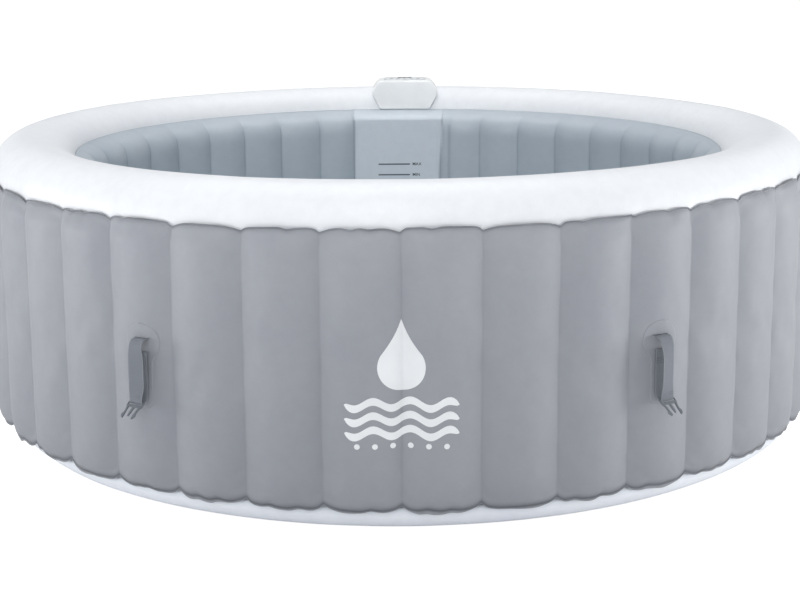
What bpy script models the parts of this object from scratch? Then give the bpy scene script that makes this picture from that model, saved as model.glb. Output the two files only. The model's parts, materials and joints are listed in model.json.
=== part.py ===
"""Inflatable hot tub: ribbed ring wall with a white rim, liner, lift handles with lid buckles,
and a built-in equipment box (pump, heater, blower, controller) at the back.
Metres, +Z up. The origin is the centre of the base on the ground. The front is -Y, the
equipment is at +Y. Angles round the tub are in degrees from the front, turning towards +X.
"""
import bmesh
import bpy
import math
from mathutils import Matrix, Vector

# ------------------------------------------------------------------ driving dimensions (metres)
RIBS = 40                       # vertical ribs round the wall
RIB_DEG = 360.0 / RIBS          # the equipment box takes one rib either side of the back
RIB_CORNER = 0.15               # a rib rises from its weld line over this share of its width
RIB_BULGE = 0.019               # how far a rib stands off its weld lines, outside and inside

R_VALLEY = 1.000                # outer wall radius at a weld line
Z_TOP_SEAM, R_TOP_SEAM = 0.620, 0.9915
Z_BOT_SEAM, R_BOT_SEAM = 0.0580, 0.9985
SHEET = 0.0018                  # thickness of the rim and base sheet
WALL_SHEET = 0.0015             # thickness of the outer wall and the liner

RIM_R, RIM_Z = 0.907, 0.6185    # centre of the rim's elliptical section
RIM_A, RIM_B = 0.086, 0.0815    # its half width and half height
RIM_START, RIM_END = 2.0, 165.0  # degrees round the section, outer seam to inner seam

R_IN_VALLEY = 0.764             # inner wall radius at a weld line
FLAT_Y = R_IN_VALLEY * math.cos(math.radians(RIB_DEG))  # the liner's flat facet at the back
R_FLOOR = 0.792

FILTER_Z, RETURN_Z = 0.160, 0.300
PIPE_HOLES = ((FILTER_Z, 0.0225), (RETURN_Z, 0.0135))   # height, radius, all at x = 0
AIR_X, AIR_BOX_Z, AIR_LINER_Z = -0.080, 0.100, 0.042    # the air hose's two holes
FITTING_Y = 0.7575              # datum of the two pool fittings on the flat facet
HEATER_X, HEATER_Y = 0.100, 0.900
BLOWER_X, BLOWER_Z = -0.068, 0.520

# ------------------------------------------------------------------ start clean
for o in list(bpy.data.objects):
    bpy.data.objects.remove(o)
scene = bpy.context.scene
tub = bpy.data.collections.new("inflatable_hot_tub")
cutters = bpy.data.collections.new("cutters")
scene.collection.children.link(tub)
scene.collection.children.link(cutters)


# ------------------------------------------------------------------ materials
def material(name, colour, roughness, metallic=0.0):
    m = bpy.data.materials.new(name)
    m.use_nodes = True
    inputs = m.node_tree.nodes["Principled BSDF"].inputs
    inputs["Base Color"].default_value = (*colour, 1.0)
    inputs["Roughness"].default_value = roughness
    inputs["Metallic"].default_value = metallic


material("rim_pvc", colour=(0.86, 0.87, 0.90), roughness=0.45)
material("wall_pvc", colour=(0.35, 0.36, 0.385), roughness=0.55)
material("liner_pvc", colour=(0.38, 0.44, 0.50), roughness=0.42)
material("web_fabric", colour=(0.62, 0.63, 0.65), roughness=0.8)
material("webbing", colour=(0.21, 0.225, 0.25), roughness=0.85)
material("buckle_plastic", colour=(0.15, 0.16, 0.175), roughness=0.4)
material("abs_white", colour=(0.78, 0.80, 0.81), roughness=0.35)
material("abs_grey", colour=(0.24, 0.25, 0.265), roughness=0.5)
material("panel_dark", colour=(0.02, 0.022, 0.025), roughness=0.2)
material("button_grey", colour=(0.45, 0.47, 0.49), roughness=0.45)
material("rubber_black", colour=(0.02, 0.02, 0.02), roughness=0.6)
material("steel", colour=(0.56, 0.57, 0.58), roughness=0.3, metallic=1.0)
material("hose_grey", colour=(0.30, 0.31, 0.33), roughness=0.5)
material("filter_paper", colour=(0.80, 0.81, 0.80), roughness=0.9)
material("board_green", colour=(0.02, 0.16, 0.07), roughness=0.5)


# ------------------------------------------------------------------ mesh and modifier helpers
def add(name, mesh, mat=None):
    """Link a mesh as a piece of the tub, or as a hidden cutter if it has no material."""
    o = bpy.data.objects.new(name, mesh)
    if mat:
        tub.objects.link(o)
        mesh.materials.append(bpy.data.materials[mat])
    else:
        cutters.objects.link(o)
        o.hide_render = True
        o.display_type = "WIRE"
    return o


def smooth_shade(mesh, sharp_deg):
    mesh.shade_smooth()
    mesh.set_sharp_from_angle(angle=math.radians(sharp_deg))


def from_bm(name, bm, mat=None, sharp_deg=None):
    mesh = bpy.data.meshes.new(name)
    bm.normal_update()
    bm.to_mesh(mesh)
    bm.free()
    if sharp_deg:
        smooth_shade(mesh, sharp_deg)
    return add(name, mesh, mat)


def round_edges(o, width, segments):
    bevel = o.modifiers.new("round", "BEVEL")
    bevel.width, bevel.segments, bevel.limit_method = width, segments, "ANGLE"
    return bevel


def solidify(o, label, thickness, offset, even):
    s = o.modifiers.new(label, "SOLIDIFY")
    s.thickness, s.offset, s.use_even_offset = thickness, offset, even


def cut(target, cutter, operation="DIFFERENCE"):
    m = target.modifiers.new("cut_" + cutter.name, "BOOLEAN")
    m.operation, m.object, m.solver = operation, cutter, "EXACT"


# ------------------------------------------------------------------ shape helpers
def box(name, lo, hi, mat=None, bevel=0.0, segments=1):
    """An upright box between two corners, its origin at its centre."""
    lo, hi = Vector(lo), Vector(hi)
    bm = bmesh.new()
    bmesh.ops.create_cube(bm, size=1.0)
    bmesh.ops.scale(bm, vec=hi - lo, verts=bm.verts)
    o = from_bm(name, bm, mat)
    o.location = (lo + hi) / 2
    if bevel:
        round_edges(o, bevel, segments)
    return o


def placed_box(name, half, place, mat=None, bevel=0.0, segments=1):
    """A box of given half sizes, its centre and axes set by a matrix."""
    o = box(name, [-h for h in half], half, mat, bevel, segments)
    o.matrix_world = place
    return o


def tray(name, lo, hi, wall, mat, bevel=0.0):
    """An open box: its +Y side is missing, and its walls grow inwards."""
    o = box(name, lo, hi, mat)
    bm = bmesh.new()
    bm.from_mesh(o.data)
    bm.normal_update()
    back = [f for f in bm.faces if f.normal.y > 0.9]
    bmesh.ops.delete(bm, geom=back, context="FACES_ONLY")
    bm.to_mesh(o.data)
    bm.free()
    if bevel:
        round_edges(o, bevel, segments=2)
    solidify(o, "wall", wall, offset=-1.0, even=True)
    return o


def rod(name, r, a, b, sides, mat=None):
    """A cylinder from point a to point b."""
    a, b = Vector(a), Vector(b)
    bm = bmesh.new()
    bmesh.ops.create_cone(bm, cap_ends=True, segments=sides, radius1=r, radius2=r,
                          depth=(b - a).length)
    o = from_bm(name, bm, mat, sharp_deg=40)
    o.rotation_mode = "QUATERNION"
    o.rotation_quaternion = (b - a).to_track_quat("Z", "Y")
    o.location = (a + b) / 2
    return o


def turned(name, profile, steps, mat=None, place=None):
    """A turned solid from (radius, height) pairs. The profile is wound to face outwards.

    A profile that starts on the axis also ends there; any other is closed on itself.
    """
    area = sum(p[0] * q[1] - q[0] * p[1] for p, q in zip(profile, profile[1:] + profile[:1]))
    pts = profile if area < 0 else profile[::-1]
    n = len(pts)
    edges = [(i, i + 1) for i in range(n - 1)]
    if pts[0][0] > 0:
        edges.append((n - 1, 0))
    mesh = bpy.data.meshes.new(name)
    mesh.from_pydata([(r, 0.0, z) for r, z in pts], edges, [])
    o = add(name, mesh, mat)
    s = o.modifiers.new("turn", "SCREW")
    s.axis, s.angle, s.steps, s.render_steps = "Z", math.tau, steps, steps
    s.use_merge_vertices, s.merge_threshold = True, 0.00001
    s.use_smooth_shade = True
    if place is not None:
        o.matrix_world = place
    return o


def curve_mesh(name, curve, mat=None):
    """The curve's evaluated mesh as its own object, caps welded."""
    guide = bpy.data.objects.new(name + "_curve", curve)
    scene.collection.objects.link(guide)
    graph = bpy.context.evaluated_depsgraph_get()
    mesh = bpy.data.meshes.new_from_object(guide.evaluated_get(graph))
    bpy.data.objects.remove(guide)
    bm = bmesh.new()
    bm.from_mesh(mesh)
    bmesh.ops.remove_doubles(bm, verts=bm.verts, dist=0.00001)
    bmesh.ops.recalc_face_normals(bm, faces=bm.faces)
    bm.to_mesh(mesh)
    bm.free()
    mesh.name = name
    return add(name, mesh, mat)


def plate(name, outlines, thickness, place, mat=None):
    """A flat plate in local X-Y, centred in thickness. First outline is the edge, others holes."""
    curve = bpy.data.curves.new(name + "_outline", "CURVE")
    curve.dimensions, curve.fill_mode, curve.extrude = "2D", "BOTH", thickness / 2
    for pts in outlines:
        spline = curve.splines.new("POLY")
        spline.points.add(len(pts) - 1)
        for point, (x, y) in zip(spline.points, pts):
            point.co = (x, y, 0.0, 1.0)
        spline.use_cyclic_u = True
    o = curve_mesh(name, curve, mat)
    o.matrix_world = place
    return o


def hose(name, pts, r, mat):
    """A round hose through a control polygon."""
    curve = bpy.data.curves.new(name + "_path", "CURVE")
    curve.dimensions, curve.bevel_depth, curve.bevel_resolution = "3D", r, 1
    curve.use_fill_caps = True
    curve.resolution_u = 3
    spline = curve.splines.new("NURBS")
    spline.points.add(len(pts) - 1)
    for point, co in zip(spline.points, pts):
        point.co = (*co, 1.0)
    spline.order_u, spline.use_endpoint_u = 4, True
    smooth_shade(curve_mesh(name, curve, mat).data, 60)


def sheet(name, rows, mat, thickness, offset, closed=False):
    """A sheet through rows of points; closed joins the ends of each row."""
    bm = bmesh.new()
    made = [[bm.verts.new(p) for p in row] for row in rows]
    n = len(rows[0])
    for a, b in zip(made, made[1:]):
        for i in range(n if closed else n - 1):
            j = (i + 1) % n
            bm.faces.new((a[i], a[j], b[j], b[i]))
    o = from_bm(name, bm, mat, sharp_deg=30)
    solidify(o, "sheet", thickness, offset, even=False)
    return o


def rounded_rect(x0, y0, x1, y1, r_low, r_high, n):
    """An outline with one radius for its two low corners and one for its two high ones."""
    corners = ((x1 - r_low, y0 + r_low, r_low, -90), (x1 - r_high, y1 - r_high, r_high, 0),
               (x0 + r_high, y1 - r_high, r_high, 90), (x0 + r_low, y0 + r_low, r_low, 180))
    pts = []
    for cx, cy, r, start in corners:
        for i in range(n + 1):
            a = math.radians(start + 90 * i / n)
            pts.append((cx + r * math.cos(a), cy + r * math.sin(a)))
    return pts


def circle(cx, cy, r, n):
    angles = [math.tau * i / n for i in range(n)]
    return [(cx + r * math.cos(a), cy + r * math.sin(a)) for a in angles]


# ------------------------------------------------------------------ placing
def polar(r, deg, z):
    """A point at a radius and an angle from the front, turning towards +X."""
    a = math.radians(deg)
    return (r * math.sin(a), -r * math.cos(a), z)


def along(origin, direction):
    """Puts local Z along a direction through a point."""
    turn = Vector(direction).to_track_quat("Z", "Y").to_matrix().to_4x4()
    return Matrix.Translation(Vector(origin)) @ turn


def upright(x, y, z):
    """Stands a plate up in X-Z, its thickness along Y."""
    return Matrix.Translation((x, y, z)) @ Matrix.Rotation(math.radians(90), 4, "X")


def into_pool(z):
    """A pool fitting's axis: heights run towards the pool, -Y."""
    return along((0, FITTING_Y, z), (0, -1, 0))


def outward(r, deg, z):
    """An axis that points straight out of the wall at a radius, angle and height."""
    return along(polar(r, deg, z), polar(1.0, deg, 0.0))


# ------------------------------------------------------------------ the wall's shape
def clamp01(t):
    return max(0.0, min(1.0, t))


def smooth01(t):
    t = clamp01(t)
    return t * t * (3 - 2 * t)


def rib_swell(deg, end_distance):
    """A rib's height off its weld lines. end_distance is 0 at the rib's end, 1 at full height."""
    place = (deg * RIBS / 360.0) % 1.0      # 0 and 1 at the weld lines
    arch = min(1.0, min(place, 1.0 - place) / RIB_CORNER)
    return RIB_BULGE * arch * math.sqrt(max(0.0, 1 - (1 - clamp01(end_distance)) ** 2))


def outer_radius(deg, z):
    below_top, above_bottom = Z_TOP_SEAM - z, z - Z_BOT_SEAM
    lean = 0.05                             # the weld lines draw in over this height
    top = R_TOP_SEAM + (R_VALLEY - R_TOP_SEAM) * smooth01(below_top / lean)
    bottom = R_BOT_SEAM + (R_VALLEY - R_BOT_SEAM) * smooth01(above_bottom / lean)
    return min(top, bottom) + rib_swell(deg, min(below_top / 0.085, above_bottom / 0.075))


def inner_radius(deg, z, weld_radius):
    return weld_radius - rib_swell(deg, min((0.634 - z) / 0.07, (z - 0.012) / 0.06))


def rim_point(deg, grow=0.0):
    """A point on the rim's section, as (radius, height)."""
    a = math.radians(deg)
    return (RIM_R + (RIM_A + grow) * math.cos(a), RIM_Z + (RIM_B + grow) * math.sin(a))


# angles of the wall's columns: weld line and both shoulders of each rib, open at the back
COLUMNS = [RIB_DEG * k + RIB_DEG * f for k in range(-RIBS // 2 + 1, RIBS // 2 - 1)
           for f in (0.0, RIB_CORNER, 1.0 - RIB_CORNER)] + [180.0 - RIB_DEG]


# ------------------------------------------------------------------ soft body
def build_rim():
    angles = [RIM_START + (RIM_END - RIM_START) * i / 6 for i in range(7)]
    profile = [rim_point(a) for a in angles] + [rim_point(a, -SHEET) for a in reversed(angles)]
    turned("top_rim", profile, 60, "rim_pvc")


def build_outer_wall():
    rows = [[polar(outer_radius(a, z), a, z) for a in COLUMNS]
            for z in (Z_BOT_SEAM, 0.105, 0.57, Z_TOP_SEAM)]
    return sheet("outer_wall", rows, "wall_pvc", WALL_SHEET, offset=-1.0)


def build_inner_wall():
    """The liner's ring. It closes with a flat facet at the back."""
    # height, radius at a weld line
    stations = [(0.0105, 0.786), (0.070, R_IN_VALLEY), (0.575, R_IN_VALLEY), (0.639, 0.8225)]
    rows = [[polar(inner_radius(a, z, r), a, z) for a in COLUMNS] for z, r in stations]
    return sheet("inner_wall", rows, "liner_pvc", WALL_SHEET, offset=1.0, closed=True)


def build_base():
    # radius, height: over the top of the sheet to its edge, back underneath to the ground flat
    profile = [
        (0, SHEET), (0.932, SHEET), (0.9640, 0.0135), (0.9865, 0.0360), (0.9948, 0.0548),
        (0.9978, 0.0546), (0.9895, 0.0345), (0.9660, 0.0105), (0.935, 0), (0, 0),
    ]
    turned("base_sheet", profile, 60, "rim_pvc")


def build_pool_floor():
    top, bottom = 0.0095, 0.0060
    profile = [(0, top), (R_FLOOR, top), (R_FLOOR, bottom), (0, bottom)]
    return turned("pool_floor", profile, 60, "liner_pvc")


def build_tension_web():
    """Radial walls joined by turns that lie along the outer and the inner wall."""
    path = []
    for k in range(-18, 19):
        ends = [(0.989, RIB_DEG * k), (0.7725, RIB_DEG * k)]
        path += ends if k % 2 == 0 else ends[::-1]
    rows = [[polar(r, a, z) for r, a in path] for z in (0.085, 0.568)]
    sheet("tension_web", rows, "web_fabric", 0.0009, offset=0.0)


def build_bubble_tube():
    bpy.ops.mesh.primitive_torus_add(major_segments=48, minor_segments=5, major_radius=0.728,
                                     minor_radius=0.011, location=(0, 0, 0.0212))
    tube = bpy.context.object
    tube.name = tube.data.name = "bubble_tube"
    tube.data.materials.append(bpy.data.materials["abs_white"])
    tube.data.shade_smooth()
    for c in list(tube.users_collection):
        c.objects.unlink(tube)
    tub.objects.link(tube)


def build_level_panel():
    """Upright plate on the flat facet at the back of the liner, with the two pipe holes."""
    outlines = [rounded_rect(-0.1165, 0.075, 0.1165, 0.600, r_low=0.012, r_high=0.030, n=5)]
    outlines += [circle(0.0, z, r, 20) for z, r in PIPE_HOLES]
    plate("level_panel", outlines, 0.0025, upright(0, FLAT_Y - 0.0022, 0), "liner_pvc")


def build_recess(inner_wall):
    """The sleeve for the equipment box, the box's housing in it, and the holes through them."""
    half, front, low, high = 0.1540, 0.806, 0.0630, 0.6060
    gap = 0.003
    pocket = tray("pump_pocket", (-half, front, low), (half, 0.9960, high), 0.0020, "wall_pvc")
    half -= gap
    housing = tray("equipment_housing", (-half, front + gap, low + gap),
                   (half, 0.9980, high - gap), 0.0030, "abs_grey", bevel=0.008)
    for i, (z, r) in enumerate(PIPE_HOLES):
        hole = rod(f"cut_pipe_{i}", r, (0, 0.745, z), (0, 0.830, z), sides=20)
        for o in (inner_wall, pocket, housing):
            cut(o, hole)
    hole = rod("cut_air_box", 0.0100, (AIR_X, 0.795, AIR_BOX_Z), (AIR_X, 0.830, AIR_BOX_Z),
               sides=12)
    cut(pocket, hole)
    cut(housing, hole)
    cut(inner_wall, rod("cut_air_liner", 0.0105, (AIR_X, 0.735, AIR_LINER_Z),
                        (AIR_X, 0.790, AIR_LINER_Z), sides=12))


# ------------------------------------------------------------------ lift handles, lid buckles
HANDLE_ANGLES = (-30.7, 30.7, 93.7, 147.7, -147.7, -93.7)
HANDLE_Z = 0.32                 # height of the straps' origins
PATCH_Z = 0.3660                # centre of the round patch the webbing comes out of
PATCH_R, PATCH_TAIL = 0.040, 0.021  # radius of its head, half width of its tail
WEB_W, WEB_T = 0.032, 0.0016    # webbing width and thickness
BAR_OUT, BAR_Z = 0.0199, 0.2495  # the buckle's bar: distance out of the wall, and height
BAR_R = 0.0016
BUCKLE_TILT = 35.0              # degrees below level at rest
# the webbing's line: distance out of the wall, height
WEB_LINE = [
    (0.0030, 0.3765), (0.0108, 0.3756), (0.0180, 0.3690), (0.0230, 0.3550),
    (0.0258, 0.3370), (0.0262, 0.3080), (0.0258, 0.2790), (0.0246, 0.2590),
    (0.0236, 0.2485), (0.0216, 0.2455), (0.0186, 0.2452), (0.0129, 0.2484),
    (0.0076, 0.2535), (0.0049, 0.2610), (0.0042, 0.2790), (0.0042, 0.3500),
]


def wall_frame(deg):
    """Point on the wall at handle height, and the turn about Z that points -Y out of the wall."""
    before, p, after = (Vector(polar(outer_radius(d, HANDLE_Z), d, HANDLE_Z))
                        for d in (deg - 0.05, deg, deg + 0.05))
    tangent = after - before
    return p, math.atan2(tangent.y, tangent.x)


def build_patch(name, deg):
    """A patch that follows the rib: a round head with a narrower tail behind the webbing."""
    outline = []                # half width, height
    for a in (12, 40, 65, 90, 115):
        a = math.radians(a)
        outline.append((PATCH_R * math.sin(a), PATCH_Z + PATCH_R * math.cos(a)))
    outline += [(PATCH_TAIL, PATCH_Z - 0.0355), (PATCH_TAIL, 0.256), (PATCH_TAIL * 0.75, 0.243)]
    rows = []
    for w, z in reversed(outline):
        angles = [deg + math.degrees(s * w / R_VALLEY) for s in (-1.0, -0.4, 0.4, 1.0)]
        rows.append([polar(outer_radius(d, z) + 0.0006, d, z) for d in angles])
    sheet(name, rows, "wall_pvc", 0.0012, offset=1.0)


def build_strap(name, deg):
    bm = bmesh.new()
    made = [[bm.verts.new((x, -out, z - HANDLE_Z)) for x in (-WEB_W / 2, WEB_W / 2)]
            for out, z in WEB_LINE]
    for a, b in zip(made, made[1:]):
        bm.faces.new((a[0], b[0], b[1], a[1]))
    o = from_bm(name, bm, "webbing", sharp_deg=50)
    solidify(o, "webbing", WEB_T, offset=0.0, even=True)
    p, turn = wall_frame(deg)
    o.location = p
    o.rotation_euler = (0, 0, turn)


def build_buckle(name, deg):
    """Insert half of a side-release buckle: a slotted frame with two sprung arms and a centre
    guide. Local Y is the way it points."""
    half, frame_end, slot_end, slot_half = 0.0205, 0.0150, 0.0085, 0.0172
    right = [
        (half, frame_end), (0.0165, frame_end + 0.0015), (0.0150, 0.0300), (0.0185, 0.0330),
        (0.0175, 0.0375), (0.0125, 0.0435), (0.0095, 0.0430), (0.0105, 0.0345),
        (0.0100, frame_end + 0.0045), (0.0025, frame_end + 0.0045), (0.0020, 0.0365),
    ]
    left = [(-x, y) for x, y in reversed(right)]
    edge = [(-half, -BAR_R), (half, -BAR_R)] + right + [(0.0, 0.0385)] + left
    slot = [(-slot_half, BAR_R), (slot_half, BAR_R), (slot_half, slot_end), (-slot_half, slot_end)]
    p, turn = wall_frame(deg)
    out = Matrix.Rotation(turn, 4, "Z")
    bar = p + out @ Vector((0, -BAR_OUT, BAR_Z - p.z))
    # local X stays along the wall, local Y turns to point outwards and down by the tilt
    tilt = Matrix.Rotation(math.radians(180 + BUCKLE_TILT), 4, "X")
    plate(name, [edge, slot], 0.0036, Matrix.Translation(bar) @ out @ tilt, "buckle_plastic")


def build_handles():
    for i, deg in enumerate(HANDLE_ANGLES, 1):
        build_patch(f"handle_patch_{i}", deg)
        build_strap(f"handle_strap_{i}", deg)
        build_buckle(f"lid_buckle_{i}", deg)


# ------------------------------------------------------------------ equipment cover and console
CONSOLE_X = 0.016               # the console sits a little to one side of the box's centre
CONSOLE_FRONT, CONSOLE_REAR = 0.8240, 0.9850
CABLE_SLOT = 0.006              # half width of the cable's slots
CORD_X, CORD_Y = 0.100, 1.020   # where the power cord leaves the cover
# half outlines seen from the front, top centre outwards and down: x from CONSOLE_X, height
CONSOLE_SIDE = [
    (0.060, 0.7215), (0.078, 0.7195), (0.0900, 0.7130), (0.0975, 0.7040),
    (0.0995, 0.6950), (0.0985, 0.6850), (0.0950, 0.6740), (0.0895, 0.6640),
    (0.0830, 0.6530), (0.0760, 0.6420), (0.0690, 0.6350), (0.0600, 0.6300),
]
CONSOLE_INSIDE = [
    (0.046, 0.7010), (0.0860, 0.7010), (0.0930, 0.6960), (0.0945, 0.6900), (0.0930, 0.6820),
    (0.0900, 0.6730), (0.0845, 0.6630), (0.0780, 0.6520), (0.0710, 0.6410), (0.0560, 0.6200),
]
CONTROLLER_Y = 0.904
CONTROLLER_HALF = (0.0620, 0.0470)
BUTTON_PITCH, BUTTON_Y = 0.020, 0.8790
BUTTONS = ("button_bubbles", "button_filter", "button_heater", "button_temp_down",
           "button_temp_up")    # from -X to +X


def build_cover():
    half, front, back, low, high = 0.172, 1.0000, 1.0400, 0.050, 0.6285
    wall = 0.006
    cover = box("equipment_cover", (-half, front, low), (half, back, high), "abs_white",
                bevel=0.012, segments=2)
    cut(cover, box("cut_cover_inside", (wall - half, front - 0.010, low + wall),
                   (half - wall, back - 0.0035, high - wall)))
    for i in range(7):
        z = 0.455 + 0.017 * i
        cut(cover, box(f"cut_louvre_{i}", (-0.105, 1.030, z), (0.105, 1.050, z + 0.006)))
    cut(cover, box("cut_cable_top", (CONSOLE_X - CABLE_SLOT, 1.005, 0.615),
                   (CONSOLE_X + CABLE_SLOT, 1.020, 0.640)))
    cut(cover, rod("cut_cord_exit", 0.0055, (CORD_X, CORD_Y, 0.040), (CORD_X, CORD_Y, 0.066),
                   sides=12))


def both_sides(half):
    return [(CONSOLE_X + x, z) for x, z in half] + [(CONSOLE_X - x, z) for x, z in half[::-1]]


def build_console():
    """A hollow shell that sits over the rim, with a tray for the controller on top."""
    length = CONSOLE_REAR - CONSOLE_FRONT
    place = upright(0, (CONSOLE_REAR + CONSOLE_FRONT) / 2, 0)
    console = plate("console_shell", [both_sides(CONSOLE_SIDE)], length, place, "abs_white")
    round_edges(console, 0.008, segments=2).angle_limit = math.radians(60)
    cut(console, plate("cut_console_inside", [both_sides(CONSOLE_INSIDE)], length - 0.0090, place))
    cut(console, turned("cut_rim", [rim_point(a, 0.0010) for a in range(-60, 241, 15)], 60))
    half_x, half_y = (h + 0.001 for h in CONTROLLER_HALF)
    cut(console, box("cut_tray", (CONSOLE_X - half_x, CONTROLLER_Y - half_y, 0.7055),
                     (CONSOLE_X + half_x, CONTROLLER_Y + half_y, 0.7500)))
    cut(console, box("cut_cable", (CONSOLE_X - CABLE_SLOT, 0.9480, 0.7065),
                     (CONSOLE_X + CABLE_SLOT, 0.9900, 0.7500)))


def build_controller():
    half_x, half_y = CONTROLLER_HALF
    box("controller_body", (CONSOLE_X - half_x, CONTROLLER_Y - half_y, 0.7059),
        (CONSOLE_X + half_x, CONTROLLER_Y + half_y, 0.7220), "abs_grey", bevel=0.003, segments=2)
    button_xs = [BUTTON_PITCH * (i - 2) for i in range(len(BUTTONS))]
    outlines = [rounded_rect(-0.058, -0.043, 0.058, 0.043, r_low=0.007, r_high=0.007, n=2)]
    outlines += [circle(x, BUTTON_Y - CONTROLLER_Y, 0.0074, 12) for x in button_xs]
    plate("controller_face", outlines, 0.0022,
          Matrix.Translation((CONSOLE_X, CONTROLLER_Y, 0.7234)), "panel_dark")
    for name, x in zip(BUTTONS, button_xs):
        x += CONSOLE_X
        rod(name, 0.0070, (x, BUTTON_Y, 0.7233), (x, BUTTON_Y, 0.7263), 16, "button_grey")
    # y, z from the controller back over the console and down inside the cover
    line = [(0.9513, 0.7135), (0.970, 0.7135), (0.990, 0.7130), (1.0085, 0.7050),
            (1.0125, 0.6850), (1.0125, 0.64), (1.0125, 0.575)]
    hose("controller_cable", [(CONSOLE_X, y, z) for y, z in line], 0.0028, "rubber_black")


# ------------------------------------------------------------------ filter, suction and return
def build_filter():
    profile = [(0.046, 0.0135), (0.046, 0.0068), (0.020, 0.0068), (0.020, -0.072),
               (0.016, -0.072), (0.016, 0.0135)]
    turned("filter_base", profile, 24, "abs_white", into_pool(FILTER_Z))

    n_pleats = 20
    pleats = []
    for i in range(2 * n_pleats):
        r = 0.041 if i % 2 == 0 else 0.030
        a = math.pi * i / n_pleats
        pleats.append((r * math.cos(a), r * math.sin(a)))
    plate("filter_cartridge", [pleats, circle(0, 0, 0.0135, 16)], 0.100,
          upright(0, 0.6925, FILTER_Z), "filter_paper")

    profile = [(0, 0.1285), (0.048, 0.1285), (0.052, 0.1245), (0.052, 0.0145),
               (0.049, 0.0145), (0.049, 0.1235), (0.046, 0.1255), (0, 0.1255)]
    cap = turned("filter_cap", profile, 24, "abs_white", into_pool(FILTER_Z))
    centre = Matrix.Translation((0, 0.6900, FILTER_Z))
    for i in range(3):          # each cutter makes two opposite slots
        turn = Matrix.Rotation(math.radians(60 * i), 4, "Y")
        cut(cap, placed_box(f"cut_cap_slot_{i}", (0.006, 0.045, 0.060), centre @ turn))


def build_return_nozzle():
    profile = [(0.026, 0.0085), (0.026, 0.0068), (0.0120, 0.0068), (0.0120, -0.061),
               (0.0085, -0.061), (0.0085, 0.0160), (0.0115, 0.0175), (0.0190, 0.0140)]
    turned("return_nozzle", profile, 20, "abs_white", into_pool(RETURN_Z))


# ------------------------------------------------------------------ inside the equipment box
def vanes(n, r_root, r_tip, sweep):
    """Outline of a wheel with n swept vanes."""
    pts = []
    for i in range(n):
        a = math.tau * i / n
        w = math.tau / n * 0.22     # a vane's angular width
        for r, angle in ((r_root, a), (r_tip, a + sweep), (r_tip, a + sweep + w),
                         (r_root, a + 2 * w)):
            pts.append((r * math.cos(angle), r * math.sin(angle)))
    return pts


def build_pump():
    place = along((0, 0, FILTER_Z), (0, 1, 0))      # profile heights are world Y
    profile = [(0.0155, 0.8445), (0.0155, 0.8300), (0.0195, 0.8300), (0.0195, 0.8445)]
    turned("suction_pipe", profile, 16, "hose_grey", place)
    profile = [
        (0, 0.9690), (0.036, 0.9690), (0.038, 0.9640), (0.038, 0.8800), (0.050, 0.8800),
        (0.050, 0.8450), (0.0185, 0.8450), (0.0185, 0.8490), (0.046, 0.8490), (0.046, 0.8760),
        (0, 0.8760),
    ]
    turned("pump_body", profile, 24, "abs_grey", place)
    plate("pump_impeller", [vanes(6, r_root=0.014, r_tip=0.040, sweep=0.55)], 0.018,
          upright(0, 0.8625, FILTER_Z), "abs_white")


def build_heater():
    profile = [(0, 0.448), (0.012, 0.448), (0.012, 0.436), (0.026, 0.432),
               (0.026, 0.212), (0.012, 0.208), (0.012, 0.196), (0, 0.196)]
    turned("heater_tube", profile, 20, "steel", Matrix.Translation((HEATER_X, HEATER_Y, 0)))
    hose("pump_to_heater_hose", [
        (0.0, 0.8620, 0.2108), (0.0, 0.862, 0.228), (0.030, 0.875, 0.236),
        (0.062, 0.895, 0.215), (0.075, HEATER_Y, 0.180), (HEATER_X, HEATER_Y, 0.165),
        (HEATER_X, HEATER_Y, 0.1955),
    ], 0.0080, "hose_grey")
    hose("heater_return_hose", [
        (HEATER_X, HEATER_Y, 0.4485), (HEATER_X, HEATER_Y, 0.485), (0.060, 0.880, 0.500),
        (0.020, 0.868, 0.450), (0.0, 0.868, 0.360), (0.0, 0.868, RETURN_Z),
        (0.0, 0.8190, RETURN_Z),
    ], 0.0080, "hose_grey")


def build_blower():
    # radius, world Y
    profile = [
        (0, 0.846), (0.020, 0.846), (0.024, 0.856), (0.058, 0.858), (0.060, 0.862),
        (0.060, 0.928), (0.032, 0.932), (0.032, 0.928), (0.056, 0.924), (0.056, 0.866),
        (0, 0.866),
    ]
    turned("blower_body", profile, 24, "abs_grey", along((BLOWER_X, 0, BLOWER_Z), (0, 1, 0)))
    plate("blower_fan", [vanes(10, r_root=0.022, r_tip=0.050, sweep=0.25)], 0.040,
          upright(BLOWER_X, 0.894, BLOWER_Z), "abs_white")
    hose("air_hose", [
        (BLOWER_X, 0.892, 0.4595), (BLOWER_X, 0.892, 0.400), (-0.085, 0.892, 0.250),
        (-0.085, 0.885, 0.130), (AIR_X, 0.860, AIR_BOX_Z), (AIR_X, 0.820, AIR_BOX_Z),
        (AIR_X, 0.787, AIR_BOX_Z), (AIR_X, 0.783, 0.070), (AIR_X, 0.780, 0.046),
        (AIR_X, 0.765, AIR_LINER_Z), (AIR_X, 0.7365, AIR_LINER_Z),
    ], 0.0075, "hose_grey")


def build_circuit_board():
    back = 0.9858
    board = box("circuit_board", (0.020, 0.9840, 0.470), (0.135, back, 0.585), "board_green")
    # x, z, width, height, depth
    components = (
        (0.035, 0.555, 0.022, 0.018, 0.016), (0.070, 0.560, 0.030, 0.016, 0.012),
        (0.110, 0.500, 0.020, 0.030, 0.014), (0.050, 0.490, 0.036, 0.012, 0.010),
    )
    for i, (x, z, w, h, d) in enumerate(components):
        part = box(f"cut_component_{i}", (x, back - 0.0006, z), (x + w, back + d, z + h))
        cut(board, part, "UNION")


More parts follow.
